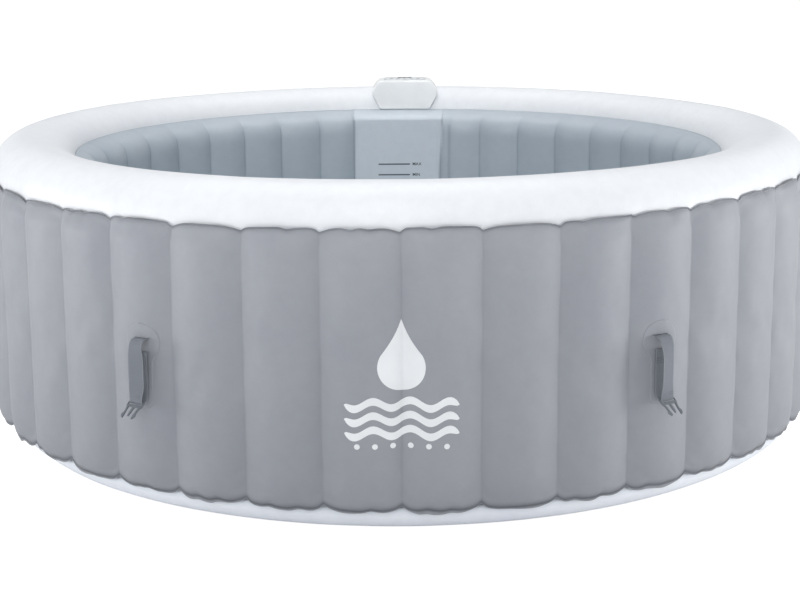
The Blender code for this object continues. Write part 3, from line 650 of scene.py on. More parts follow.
def wall_heights():
    """Rows of the sheet, closer together near its edges."""
    heights, z = [], WALL_LOW
    while z < WALL_TOP - 0.003:
        heights.append(z)
        near = min(z - WALL_LOW, WALL_TOP - z)
        z += 0.0065 if near < 0.030 else (0.0125 if near < 0.08 else 0.0330)
    return heights + [WALL_TOP]


def wall_point(k, share, lapped, z):
    """The sheet before the air is in, at a share of the rib that starts at weld line k."""
    left = k * RIB_STEP + weld_shift(k, z)
    right = (k + 1) * RIB_STEP + weld_shift(k + 1, z)
    place = k + share
    lean = -(WELD_RADIUS - WALL_TOP_RADIUS) * smooth01(1 - (WALL_TOP - z) / 0.05)
    lean -= (WELD_RADIUS - WALL_LOW_RADIUS) * smooth01(1 - (z - WALL_LOW) / 0.05)
    fullness = 0.20 + 0.80 * swell(z, WALL_LOW, WALL_TOP, 0.075, 0.070)
    radius = WELD_RADIUS + lean + WALL_BULGE * 0.90 * arch(share) * fullness
    radius += 0.0004 * ripple(place * 2.1, z * 2.0, 3.0) * arch(share)
    if lapped:
        radius -= 0.0012
    deg = place * RIB_STEP
    high = smooth01((z - (WALL_TOP - 0.06)) / 0.06)
    low = smooth01(((WALL_LOW + 0.06) - z) / 0.06)
    height = z + (sheet_edge(deg, TOP_EDGE) + seam_dip(deg)) * high
    return polar(radius, left + (right - left) * share, height + sheet_edge(deg, LOW_EDGE) * low)


def moved(point, outwards, upwards):
    away = Vector((point.x, point.y, 0)).normalized()
    return point + away * outwards + Vector((0, 0, upwards))


def pucker(z, place):
    """Folds along the two welds: radial offset."""
    from_top, from_low = WALL_TOP - z, z - WALL_LOW
    fold = (0.0017 * exp(-from_top / 0.016) * ripple(place * 13.0, z * 9.0, 2.0)
            + 0.0019 * exp(-from_low / 0.018) * ripple(place * 11.0, z * 9.0, 6.0))
    return fold + 0.0007 * (exp(-from_top / 0.07) * ripple(place * 5.0, 1.0, 40.0)
                            + exp(-from_low / 0.08) * ripple(place * 4.4, 1.0, 50.0))


def top_lip_row(i, row, places):
    outwards, upwards = TOP_LIP[i]
    return [moved(point, outwards + 0.0008 * ripple(place * 9.0, i * 0.3, 1.0),
                  upwards + 0.0006 * ripple(place * 11.0, i, 5.0))
            for point, place in zip(row, places)]


def low_lip_row(i, row, places):
    """The first two rows are even; the others are a flange that stands out by places."""
    made = []
    for point, place in zip(row, places):
        outwards, upwards = LOW_LIP[i]
        if i >= 2:
            flange = 0.22 + 0.9 * ripple(place * 1.3, 2.0, 61.0)
            flange += 0.45 * ripple(place * 5.1, 3.0, 71.0)
            flange = max(0.0, flange) * (1 - hump(from_weld(place), 0.024))
            outwards = 0.0004 + (outwards - 0.0004) * min(1.0, flange)
            outwards += 0.0010 * ripple(place * 6.0, i * 0.4, 21.0) * (i - 1) / 2
            upwards = -0.0032 + (upwards + 0.0032) * min(1.2, flange) - 0.0004 * i
        made.append(moved(point, outwards, upwards))
    return made


def wall_seam_shade(tone, row, last, on_line, place):
    """Painted shade of a point at the welds; rows are counted from the sheet's lowest, past the
    last in the lip.
    """
    if row >= last:
        # the top lip: painted shade under the rim, uneven along it
        return tone * (0.80 + 0.5 * ripple(place * 2.2, 4.0, 81.0))
    if row > 0:
        # the weld lines: painted shade in their creases
        if on_line:
            tone = 0.10
        if row == 1:
            tone = max(tone, 0.20)
        if row == last - 1:
            tone = max(tone, 0.05)
    return tone


def make_wall(name, first, last, lap_first):
    """Half of the grey sheet between two weld lines; one end laps under the other half."""
    heights = wall_heights()
    columns = [(k, share, False) for k in range(first, last) for share in WALL_SHARES]
    columns.append((last, 0.0, False))
    if lap_first:
        columns.insert(0, (first - 1, WALL_SHARES[-1], True))
    else:
        columns.append((last, WALL_SHARES[1], True))
    rows = [[wall_point(*column, z) for column in columns] for z in heights]
    obj = mesh_object(name, *grid_mesh(rows), "wall")
    n, top = len(columns), len(heights) - 1
    on_line = [share == 0.0 for _, share, _ in columns]
    pins = {}
    for i in range(top + 1):
        for j, (_, _, lapped) in enumerate(columns):
            if i in (0, top) or on_line[j] or lapped:
                pins[i * n + j] = 1.0
            elif i in (1, top - 1):
                pins[i * n + j] = 0.35
    inflate(obj, pins, pressure=2.4, farthest=0.012)

    # with the air in: puckers, weld lips, then a finer surface
    points = [v.co.copy() for v in obj.data.vertices]
    places = [k + share for k, share, _ in columns]
    rows = []
    for i, z in enumerate(heights):
        rows.append([moved(points[i * n + j], pucker(z, place) * (0.35 if on_line[j] else 1.0), 0.0)
                     for j, place in enumerate(places)])
    low_lips = [low_lip_row(i, rows[0], places) for i in range(len(LOW_LIP))]
    top_lips = [top_lip_row(i, rows[-1], places) for i in range(len(TOP_LIP))]
    rows = low_lips[::-1] + rows + top_lips
    seam_shades = LOW_SEAM_SHADES + [0.0] * (top - 1) + TOP_SEAM_SHADES
    mesh = raw_mesh(name, *grid_mesh(rows))
    shade(mesh)
    mesh.materials.append(LOOKS["wall"])
    obj.vertex_groups.clear()
    swap_mesh(obj, mesh)
    point_attribute(obj, "weld", [wall_seam_shade(tone, i - len(LOW_LIP), top, on_line[j], places[j])
                                  for i, tone in enumerate(seam_shades) for j in range(n)])
    crease_lines(obj, {i * n + j for i in range(3, len(rows) - 3) for j in range(n)
                       if on_line[j]}, 0.75)
    subdivide(obj)
    return obj


wall_halves = (make_wall("wall_sheet_left", -19, 0, lap_first=False),
               make_wall("wall_sheet_right", 0, 19, lap_first=True))
WALL_TREE = ray_tree(*wall_halves)
for half in wall_halves:
    thicken(half)
    deliver(half, replaces="outer_wall")


def on_wall(x, z, deg=0.0):
    """Point and normal of the wall, x metres along it from an angle."""
    outwards = polar(1.0, deg + degrees(x / CREST_RADIUS), 0.0)
    height = Vector((0, 0, z))
    hit, normal, _, _ = WALL_TREE.ray_cast(outwards * 1.25 + height, -outwards, 0.6)
    if hit is None:
        return outwards * CREST_RADIUS + height, outwards
    return hit, (-normal if normal.dot(outwards) < 0 else normal)


# ---------------------------------------------------------------- the white rim
def make_rim():
    """The tube's skin; section angles run from the outer side (0) over the top to the pool."""
    around, steps = 460, 26
    first, last = -22.0, 176.0
    rows, welds = [], []
    for i in range(steps + 1):
        section = first + (last - first) * (i / steps)
        angle = radians(section)
        near_outer = hump(max(section - 6, 0), 20.0)
        near_pool = hump(min(section - 166, 0), 16.0)
        row = []
        for j in range(around):
            deg = -180 + 360.0 * j / around
            valley = hump(from_weld(deg / RIB_STEP), 0.016)
            grow = 0.0012 * billow(deg * 0.045, section * 0.016, 1.0)
            grow += near_outer * (0.0016 * ripple(deg * 0.62, section * 0.02, 4.0)
                                  + 0.0016 * valley)
            grow += near_pool * 0.0010 * ripple(deg * 0.40, section * 0.03, 14.0)
            grow -= 0.0010 * near_outer
            full = squeeze(deg) * max(0.0, -cos(angle))
            sag = 0.0042 * hump(deg + 34, 26) * max(0.0, sin(angle))
            row.append(polar(RIM_RADIUS + (RIM_HALF_WIDTH + grow) * cos(angle) - full, deg,
                             RIM_HEIGHT + (RIM_HALF_HEIGHT + grow) * sin(angle) - sag))
            # painted shade: darker along the seam with the wall and by the seam towards the pool
            seam = section - 3 - degrees(seam_dip(deg) / RIM_HALF_HEIGHT)
            welds.append(0.42 * hump(seam, 3.6) + 0.10 * hump(section - 167, 4.0))
        rows.append(row)
    obj = mesh_object("rim_tube", *grid_mesh(rows, closed=True), "rim")
    point_attribute(obj, "weld", welds)
    subdivide(obj)
    thicken(obj)
    deliver(obj, replaces="top_rim")


make_rim()

# ---------------------------------------------------------------- the liner: inner wall
# profile of the liner at its weld lines: height, radius
LINER_PROFILE = (
    (0.0100, 0.786), (0.018, 0.780), (0.030, 0.774), (0.050, 0.767), (0.070, 0.764),
    (0.575, 0.764), (0.592, 0.7665), (0.606, 0.7715), (0.618, 0.781), (0.628, 0.794),
    (0.635, 0.809), (0.6395, 0.8240),
)
LINER_HEIGHTS = (
    [0.0100, 0.0160, 0.024, 0.034, 0.046, 0.060, 0.078] + [0.104 + 0.027 * i for i in range(17)]
    + [0.554, 0.566, 0.577, 0.587, 0.596, 0.604, 0.611, 0.617, 0.624, 0.630, 0.635, 0.6395]
)
# columns within a rib; the last rib, beside the panel, carries one more fold
LINER_SHARES = (0.0, 0.035, 0.12, 0.29, 0.50, 0.71, 0.88, 0.965)
LAST_SHARES = (0.0, 0.035, 0.12, 0.28, 0.48, 0.62, 0.70, 0.76, 0.82, 0.90, 0.975)
LAST_LINE = 19                          # the weld lines at the flat strip are -19 and 19
# the flat strip at the back: its plane, its x limits and its columns
FLAT_Y = LINER_RADIUS * cos(radians(RIB_STEP))
FLAT_LEFT, FLAT_RIGHT = -0.1353, LINER_RADIUS * sin(radians(RIB_STEP))
FLAT_COLUMNS = (0.114, 0.100, 0.075, 0.050, 0.025, 0.0, -0.025, -0.050, -0.075, -0.100,
                -0.120, -0.131)


def liner_radius(z):
    for (low, low_radius), (high, high_radius) in zip(LINER_PROFILE, LINER_PROFILE[1:]):
        if z <= high:
            return low_radius + (high_radius - low_radius) * max(0.0, (z - low)) / (high - low)
    return LINER_PROFILE[-1][1]


def fold_lean(z):
    """The fold on the panel's right leans outwards as it rises."""
    return 0.0095 * smooth01((z - 0.44) / 0.16)


def flat_to_round(x, z, round_point):
    """The flat strip turns into the round of the tub near its top."""
    share = smooth01((z - 0.617) / 0.020)
    return Vector((x, FLAT_Y, z)) * (1 - share) + round_point * share


def liner_point(k, share, z):
    left = k * RIB_STEP + 0.8 * weld_shift(k + 60, z)
    right = (k + 1) * RIB_STEP + 0.8 * weld_shift(k + 61, z)
    if k == -LAST_LINE:
        left = -180 + degrees(atan2(-FLAT_LEFT, FLAT_Y))
    if k >= LAST_LINE - 1:
        right = LAST_LINE * RIB_STEP
    if k == LAST_LINE:
        left = LAST_LINE * RIB_STEP
    deg = left + (right - left) * share
    radius = liner_radius(z)
    if z > 0.5:
        radius = LINER_RADIUS + (radius - LINER_RADIUS) * (0.060 - squeeze(deg)) / 0.060
    fullness = swell(z, LINER_LOW, 0.6355, 0.052, 0.055)
    bulge = arch(share)
    if k == LAST_LINE - 1:
        bulge *= 1 - 0.50 * hump(share - 0.79, 0.045)
    radius -= LINER_BULGE * 0.90 * bulge * fullness
    radius -= 0.0008 * ripple((k + share) * 2.7, z * 5.0, 11.0) * bulge * fullness
    point = polar(radius, deg, z)
    if share == 0.0 and k == -LAST_LINE:
        return flat_to_round(FLAT_LEFT, z, point)
    if k == LAST_LINE:
        return flat_to_round(FLAT_RIGHT + fold_lean(z), z, point)
    return point


def flat_point(x, z):
    x += fold_lean(z) * smooth01((x - 0.06) / 0.054)
    radius, angle = liner_radius(z), atan2(x, FLAT_Y)
    return flat_to_round(x, z, Vector((radius * sin(angle), radius * cos(angle), z)))


def liner_seam_shade(k, share, z):
    """Painted shade at the welds and the fold; the two last rows have their own."""
    # the two top rows: painted shade where the liner tucks under the rim
    if z == LINER_HEIGHTS[-1]:
        return 0.16
    if z == LINER_HEIGHTS[-2]:
        return 0.05
    # the fold beside the panel: painted shade in its crease
    if k == LAST_LINE - 1 and share == 0.76 and z < 0.60:
        return 0.34
    # the weld lines: painted shade in their creases, deepest at the panel's edges
    if share == 0.0 and 0.06 < z < 0.612:
        return 0.62 if abs(k) == LAST_LINE else 0.40 * min(1.0, (0.612 - z) / 0.03)
    return 0.0


def make_liner():
    columns = [(k, share) for k in range(-LAST_LINE, LAST_LINE)
               for share in (LAST_SHARES if k == LAST_LINE - 1 else LINER_SHARES)]
    columns.append((LAST_LINE, 0.0))
    curved, n = len(columns), len(columns) + len(FLAT_COLUMNS)
    rows = [[liner_point(k, share, z) for k, share in columns]
            + [flat_point(x, z) for x in FLAT_COLUMNS] for z in LINER_HEIGHTS]
    verts, faces = grid_mesh(rows, closed=True)
    # reversed: the pool side is the outside of this sheet
    obj = mesh_object("liner_wall", verts, [face[::-1] for face in faces], "liner")
    columns += [(0, 0.5)] * len(FLAT_COLUMNS)
    pins, welds, lit_bands = {}, [], []
    for i, z in enumerate(LINER_HEIGHTS):
        for j, (k, share) in enumerate(columns):
            if i in (0, len(LINER_HEIGHTS) - 1) or share == 0.0 or j >= curved:
                pins[i * n + j] = 1.0
            elif z > 0.6:
                pins[i * n + j] = 0.4
            elif k == LAST_LINE - 1 and share > 0.6:
                pins[i * n + j] = 0.8
            welds.append(liner_seam_shade(k, share, z))
            # painted light on the top band near the back, which faces up into the light
            near_back = hump(20 - abs(k + share), 4.5) if j < curved else 0.0
            lit_bands.append(0.17 * near_back * smooth01((z - 0.608) / 0.014))
    inflate(obj, pins, pressure=2.2, farthest=0.010)
    point_attribute(obj, "weld", welds)
    point_attribute(obj, "lit_band", lit_bands)
    obj.vertex_groups.clear()
    crease_lines(obj, {i * n + j for i, z in enumerate(LINER_HEIGHTS) if z < 0.60
                       for j, (_, share) in enumerate(columns) if share == 0.0}, 0.6)
    subdivide(obj)
    obj.data.materials.append(LOOKS["panel"])   # the flat strip takes the panel's vinyl, a lighter copy of the liner's: painted light on the front-facing flat
    for face in obj.data.polygons:
        centre = face.center
        if centre.y > 0.70 and FLAT_LEFT < centre.x < FLAT_RIGHT + fold_lean(centre.z):
            face.material_index = 1
    thicken(obj)
    deliver(obj, replaces="inner_wall")


make_liner()

# ---------------------------------------------------------------- base and floor
# radius, height; from the flat underside out to the weld under the wall
BASE_PROFILE = (
    (0.30, 0.0), (0.60, 0.0), (0.80, 0.0), (0.90, 0.0), (0.925, 0.0), (0.9400, 0.0014),
    (0.9545, 0.0058), (0.9670, 0.0125), (0.9775, 0.0205), (0.9860, 0.0300), (0.9915, 0.0400),
    (0.9945, 0.0500), (0.9950, 0.0600),
)
FLOOR_RADII = (0.03, 0.08, 0.14, 0.20, 0.26, 0.32, 0.38, 0.44, 0.50, 0.56, 0.61, 0.65, 0.684,
               0.700, 0.706, 0.712, 0.730, 0.750, 0.768, 0.780, 0.7895)
FLOOR_SEAM = 0.706                      # radius of a pressed ring


def make_base():
    around = 360
    rows = []
    for radius, z in BASE_PROFILE:
        row = []
        for j in range(around):
            deg = 360.0 * j / around
            valley = hump(from_weld(deg / RIB_STEP), 0.020)
            out = smooth01((z - 0.006) / 0.030) * (
                0.0022 * ripple(deg * 0.42, z * 20, 3.0)
                + 0.0012 * ripple(deg * 1.1, z * 30, 6.0) - 0.0016 * valley)
            # drawn in at the front left
            out -= 0.011 * hump(deg - 300, 15) * smooth01((radius - 0.6) / 0.3)
            rise = 0.0004 * ripple(deg * 0.3, radius * 9, 2.0) if z > 0.002 else 0.0
            row.append(polar(radius + out, deg, z + rise))
        rows.append(row)
    verts, faces = grid_mesh(rows, closed=True)
    centre = len(verts)
    verts.append(Vector((0, 0, 0)))
    faces += [(centre, (j + 1) % around, j) for j in range(around)]
    obj = mesh_object("base_sheet_skin", verts, faces, "base")
    plain = (len(rows) - 2) * around
    # painted shade: the two top rows darken under the wall's lower lip
    point_attribute(obj, "weld", [0.0] * plain + [0.35] * around + [0.8] * around + [0.0])
    thicken(obj, 0.0012)
    deliver(obj, replaces="base_sheet")


def make_floor():
    around = 200
    rows, welds = [], []
    for radius in FLOOR_RADII:
        in_seam = abs(radius - FLOOR_SEAM) < 0.004
        row = []
        for j in range(around):
            angle = radians(360.0 * j / around)
            x, y = radius * sin(angle), -radius * cos(angle)
            crumple = abs(ripple(x * 11, y * 11, 8.0)) * smooth01(radius / 0.2)
            z = LINER_LOW + 0.0011 * billow(x * 5, y * 5, 2.0) + 0.0007 * crumple
            if in_seam:
                z -= 0.0012
            if radius > 0.78:
                z = 0.0098
            row.append(Vector((x, y, z)))
            # painted shade in the pressed ring's groove and where the floor meets the wall
            welds.append(0.35 if in_seam else (0.4 if radius > 0.785 else 0.0))
        rows.append(row)
    verts, faces = grid_mesh(rows, closed=True)
    centre = len(verts)
    verts.append(Vector((0, 0, 0.0102)))
    faces = [face[::-1] for face in faces]
    faces += [(centre, j, (j + 1) % around) for j in range(around)]
    obj = mesh_object("floor_skin", verts, faces, "liner")
    with editing(obj.data) as work:     # the sheet faces up
        bmesh.ops.recalc_face_normals(work, faces=work.faces)
        if sum(face.normal.z for face in work.faces) < 0:
            bmesh.ops.reverse_faces(work, faces=work.faces)
    point_attribute(obj, "weld", welds + [0.0])
    subdivide(obj)
    thicken(obj, 0.0022)
    deliver(obj, replaces="pool_floor")


make_base()
make_floor()


# ---------------------------------------------------------------- drawing helpers
def spline(points, step):
    """Open Catmull-Rom curve through the points, sampled about every step."""
    points = [Vector(p) for p in points]
    made = []
    for i in range(len(points) - 1):
        start, end = points[i], points[i + 1]
        before = points[i - 1] if i > 0 else start * 2 - end
        after = points[i + 2] if i + 2 < len(points) else end * 2 - start
        count = max(1, round((end - start).length / step))
        for j in range(count):
            t = j / count
            made.append(0.5 * (2 * start + (end - before) * t
                               + (2 * before - 5 * start + 4 * end - after) * t * t
                               + (3 * start - before - 3 * end + after) * t ** 3))
    return made + [points[-1]]


def round_poly(points, radius, steps=3):
    """The outline with each corner rounded."""
    made = []
    for i in range(len(points)):
        before, corner, after = (Vector(points[j % len(points)]) for j in (i - 1, i, i + 1))
        back, ahead = before - corner, after - corner
        cut = min(radius, back.length * 0.45, ahead.length * 0.45)
        start, end = corner + back.normalized() * cut, corner + ahead.normalized() * cut
        for j in range(steps + 1):
            t = j / steps
            made.append(start.lerp(corner, t).lerp(corner.lerp(end, t), t))
    return made


def round_box(x0, y0, x1, y1, radius, steps=3):
    return round_poly([(x0, y0), (x1, y0), (x1, y1), (x0, y1)], radius, steps)


def circle(x, y, radius, count=16):
    return [(x + radius * cos(tau * k / count), y + radius * sin(tau * k / count))
            for k in range(count)]


def strip(x0, y0, x1, y1, width):
    """Outline of a bar between two points, with rounded corners."""
    along = Vector((x1 - x0, y1 - y0)).normalized()
    side = Vector((-along.y, along.x)) * width / 2
    return round_poly([(x0 - side.x, y0 - side.y), (x1 - side.x, y1 - side.y),
                       (x1 + side.x, y1 + side.y), (x0 + side.x, y0 + side.y)], width * 0.4, 2)


def curve_to_mesh(name, curve):
    """Turns a curve or text into a mesh and removes it."""
    obj = bpy.data.objects.new(name, curve)
    scene.collection.objects.link(obj)
    graph = bpy.context.evaluated_depsgraph_get()
    mesh = bpy.data.meshes.new_from_object(obj.evaluated_get(graph))
    bpy.data.objects.remove(obj)
    bpy.data.curves.remove(curve)
    mesh.name = name
    return mesh


def rounded_plate(name, loops, thickness, edge, look, matrix):
    """A flat shape with rounded edges; loops inside loops are holes; matrix places local X-Y."""
    curve = bpy.data.curves.new(name, "CURVE")
    curve.dimensions, curve.fill_mode = "2D", "BOTH"
    curve.extrude, curve.bevel_depth = thickness / 2 - edge, edge
    curve.bevel_resolution, curve.offset = 2, -edge
    for loop in loops:
        line = curve.splines.new("POLY")
        line.points.add(len(loop) - 1)
        for point, place in zip(line.points, loop):
            point.co = (place[0], place[1], 0, 1)
        line.use_cyclic_u = True
    mesh = curve_to_mesh(name, curve)
    with editing(mesh) as work:
        bmesh.ops.remove_doubles(work, verts=work.verts, dist=0.000004)
        bmesh.ops.dissolve_degenerate(work, edges=work.edges, dist=0.000004)
        work.transform(matrix)
        bmesh.ops.recalc_face_normals(work, faces=work.faces)
    shade(mesh, sharp=40.0)
    return add_object(name, mesh, look)


def lathe(name, profile, look, matrix, sides):
    """A turned shape: (radius, height) pairs about local Z, closed where the radius is 0."""
    verts, faces, rings = [], [], []
    for radius, z in profile:
        if radius < 1e-7:
            rings.append([len(verts)])
            verts.append(Vector((0, 0, z)))
        else:
            rings.append(list(range(len(verts), len(verts) + sides)))
            verts += [Vector((x, y, z)) for x, y in circle(0, 0, radius, sides)]
    for low, high in zip(rings, rings[1:]):
        for k in range(sides):
            q = (k + 1) % sides
            if len(low) == 1 and len(high) > 1:
                faces.append((low[0], high[k], high[q]))
            elif len(high) == 1 and len(low) > 1:
                faces.append((low[k], high[0], low[q]))
            elif len(low) > 1:
                faces.append((low[k], high[k], high[q], low[q]))
    mesh = raw_mesh(name, [matrix @ v for v in verts], faces)
    face_outwards(mesh)
    shade(mesh, sharp=40.0)
    return add_object(name, mesh, look)


def tube(name, points, radii, look, sides, flat_way, flat_share):
    """A bar along points, a radius for each, flattened to a share along one direction."""
    verts, faces, count = [], [], len(points)
    across = None
    for i, point in enumerate(points):
        along = (points[min(i + 1, count - 1)] - points[max(i - 1, 0)]).normalized()
        if across is None:
            across = along.orthogonal().normalized()
        across = (across - along * across.dot(along)).normalized()
        side = along.cross(across)
        for k in range(sides):
            angle = tau * k / sides
            off = (across * cos(angle) + side * sin(angle)) * radii[i]
            off -= flat_way * off.dot(flat_way) * (1 - flat_share)
            verts.append(point + off)
    for i in range(count - 1):
        for k in range(sides):
            q = (k + 1) % sides
            faces.append((i * sides + k, i * sides + q, (i + 1) * sides + q, (i + 1) * sides + k))
    faces += [tuple(range(sides))[::-1], tuple(range((count - 1) * sides, count * sides))]
    obj = mesh_object(name, verts, faces, look)
    obj.data.set_sharp_from_angle(angle=radians(70))
    return obj


def join(name, objects):
    """One object from several, keeping materials."""
    work = bmesh.new()
    materials = []
    for obj in objects:
        first = len(work.faces)
        work.from_mesh(obj.data)
        work.faces.ensure_lookup_table()
        for face in work.faces[first:]:
            material = obj.data.materials[face.material_index]
            if material not in materials:
                materials.append(material)
            face.material_index = materials.index(material)
    mesh = bpy.data.meshes.new(name)
    work.to_mesh(mesh)
    work.free()
    for material in materials:
        mesh.materials.append(material)
    for obj in objects:
        discard(obj)
    return add_object(name, mesh)


def is_inside(point, outline):
    inside = False
    for i, a in enumerate(outline):
        b = outline[i - 1]
        if (a.y > point.y) != (b.y > point.y) and (
                point.x < (b.x - a.x) * (point.y - a.y) / (b.y - a.y) + a.x):
            inside = not inside
    return inside


def print_on(name, outlines, surface, thickness, look, cell):
    """A printed film of small triangles; surface(x, y) gives the point and normal under it."""
    lift = 0.00012
    places, triangles = [], []
    for loop in outlines:
        outline = [Vector((p[0], p[1])) for p in loop]
        edges = [(i, (i + 1) % len(outline)) for i in range(len(outline))]
        x0, x1 = min(p.x for p in outline), max(p.x for p in outline)
        y0, y1 = min(p.y for p in outline), max(p.y for p in outline)
        grid = []
        for i in range(1, int((x1 - x0) / cell) + 1):
            for j in range(1, int((y1 - y0) / cell) + 1):
                point = Vector((x0 + i * cell, y0 + j * cell))
                clear = min((point - p).length for p in outline) > cell * 0.45
                if clear and is_inside(point, outline):
                    grid.append(point)
        made, _, faces, _, _, _ = delaunay_2d_cdt(outline + grid, edges, [], 1, 1e-7)
        k = len(places)
        places += made
        triangles += [tuple(i + k for i in face) for face in faces]
    top, low, n = [], [], len(places)
    for place in places:
        point, normal = surface(place.x, place.y)
        top.append(point + normal * (thickness + lift))
        low.append(point + normal * lift)
    work = bmesh.new()
    verts = [work.verts.new(v) for v in top + low]
    for triangle in triangles:
        work.faces.new([verts[i] for i in triangle])
        work.faces.new([verts[i + n] for i in reversed(triangle)])
    work.verts.index_update()
    rim_edges = [e for e in work.edges if len(e.link_faces) == 1 and e.verts[0].index < n]
    for edge in rim_edges:
        start, end = edge.link_loops[0].vert, edge.link_loops[0].link_loop_next.vert
        work.faces.new((end, start, verts[start.index + n], verts[end.index + n]))
    bmesh.ops.recalc_face_normals(work, faces=work.faces)
    mesh = bpy.data.meshes.new(name)
    work.to_mesh(mesh)
    work.free()
    shade(mesh, sharp=50)
    return add_object(name, mesh, look)


# ---------------------------------------------------------------- lift handles
# path of the strap's centre line: distance outside the rib's crest, height
STRAP_PATH = (
    (-0.0010, 0.3766), (0.0030, 0.3765), (0.0108, 0.3756), (0.0180, 0.3690), (0.0230, 0.3550),
    (0.0258, 0.3370), (0.0262, 0.3080), (0.0258, 0.2790), (0.0246, 0.2590), (0.0236, 0.2485),
    (0.0216, 0.2455), (0.0186, 0.2452), (0.0129, 0.2484), (0.0076, 0.2535), (0.0049, 0.2610),
    (0.0042, 0.2790), (0.0042, 0.3500),
)
STRAP_HALF_WIDTH, STRAP_HALF_THICKNESS = 0.0160, 0.0008
STRAP_SHIFT = (0.0046, 0.0, 0.001, -0.0015, 0.0012, -0.001)   # each strap's hang to one side
STRAP_TURN = (0.24, 0.24, 0.06, -0.10, 0.09, -0.07)           # each strap's turn on its length
# rows of stitches: height, distance outside the crest
STITCH_ROWS = ((0.3310, 0.0052), (0.3262, 0.0052), (0.3214, 0.0052),
               (0.2600, 0.02590), (0.2638, 0.02615))
STITCH_PITCH, STITCH_LENGTH, STITCH_RADIUS = 0.0031, 0.0023, 0.00034
# the keyhole patch: a round head over a tail
PATCH_HEAD_Z, PATCH_HEAD_RADIUS = 0.3675, 0.0400
PATCH_HALF_TAIL, PATCH_LOW = 0.0225, 0.2330
PATCH_ROWS = 62
PATCH_HALF_COLUMNS = (1.0, 0.975, 0.94, 0.89, 0.82, 0.72, 0.58, 0.40, 0.20)
# where the buckle hangs: distance outside the crest, height, downward tilt in degrees
BUCKLE_OUT, BUCKLE_Z, BUCKLE_TILT = 0.0199, 0.2495, 35.0
BUCKLE_HALF_WIDTH, BUCKLE_BACK, BUCKLE_FRONT = 0.0190, -0.0016, 0.0150


def directions_at(deg):
    """Outwards, and along the wall."""
    angle = radians(deg)
    return Vector((sin(angle), -cos(angle), 0)), Vector((cos(angle), sin(angle), 0))


def inside_keyhole(x, z):
    """Distance inside the patch's outline, head and tail blended."""
    head = PATCH_HEAD_RADIUS - hypot(x, z - PATCH_HEAD_Z)
    tail = inside_round_box(x, z - (PATCH_LOW + PATCH_HEAD_Z) / 2, PATCH_HALF_TAIL,
                            (PATCH_HEAD_Z - PATCH_LOW) / 2, 0.012)
    blend = 0.010
    near = max(blend - abs(head - tail), 0.0) / blend
    return max(head, tail) + near * near * blend * 0.25


def keyhole_half_width(z):
    low, high = 0.0, 0.06
    if inside_keyhole(0.0, z) <= 0:
        high = 0.0005
    for _ in range(26):
        middle = (low + high) / 2
        low, high = (middle, high) if inside_keyhole(middle, z) > 0 else (low, middle)
    return max(low, 0.0004)


def make_patch(i, deg):
    top = PATCH_HEAD_Z + PATCH_HEAD_RADIUS
    across = [-a for a in PATCH_HALF_COLUMNS] + [0.0] + list(PATCH_HALF_COLUMNS[::-1])
    rows = []
    for j in range(PATCH_ROWS + 1):
        even = j / PATCH_ROWS
        eased = 0.5 - 0.5 * cos(pi * even)
        z = PATCH_LOW + 0.0003 + (top - PATCH_LOW - 0.0006) * (0.35 * eased + 0.65 * even)
        half_width = keyhole_half_width(z)
        row = []
        for share in across:
            x = share * half_width
            depth = max(0.0, inside_keyhole(x, z))
            # rounded edge, a welded groove inside it, and a slight unevenness
            lift = 0.00005 + 0.0013 * smooth01(depth / 0.0020)
            lift += -0.00055 * hump(depth - 0.0052, 0.0011) + 0.0003 * ripple(x * 60, z * 60, i)
            point, normal = on_wall(x, z, deg)
            row.append(point + normal * max(0.0, lift))
        rows.append(row)
    obj = mesh_object(f"strap_patch_{i}", *grid_mesh(rows), "wall")
    thicken(obj)
    deliver(obj, replaces=f"handle_patch_{i}")


def slot_bar(name, deg, half_width, height, lift, radius, least_radius, look, sides, flat_share):
    """A tapered bar across the patch; height gives z from -1..1 across it."""
    points, radii = [], []
    for k in range(-12, 13):
        point, normal = on_wall(half_width * k / 12, height(k / 12), deg)
        points.append(point + normal * lift)
        radii.append(max(least_radius, radius * sqrt(max(0.0, 1 - (k / 12.0) ** 2))))
    return tube(name, points, radii, look, sides, on_wall(0.0, 0.378, deg)[1], flat_share)


def make_slot(i, deg):
    """The slot the webbing comes out of, under a rolled lip."""
    # the dark bar is painted shadow inside the slot
    gap = slot_bar(f"strap_slot_shadow_{i}", deg, half_width=0.0180,
                   height=lambda share: 0.3772 + 0.0004 * cos(share * 1.5), lift=0.0014,
                   radius=0.0012, least_radius=0.0003, look="gap", sides=10, flat_share=0.45)
    lip = slot_bar(f"strap_lip_{i}", deg, half_width=0.0205,
                   height=lambda share: 0.3792 - 0.0006 * abs(share), lift=0.0017,
                   radius=0.0013, least_radius=0.0004, look="wall", sides=12, flat_share=0.8)
    deliver(join(f"strap_slot_{i}", [gap, lip]))


def strap_section():
    """Section of the tape: offset across, offset through its thickness."""
    half, thick = STRAP_HALF_WIDTH, STRAP_HALF_THICKNESS
    inset = half - 0.00035
    run = 2 * half - 0.0007
    return ([(-half, -0.35 * thick), (-half, 0.35 * thick)]
            + [(-inset + run * j / 11, thick) for j in range(12)]
            + [(half, 0.35 * thick), (half, -0.35 * thick)]
            + [(inset - run * j / 11, -thick) for j in range(12)])


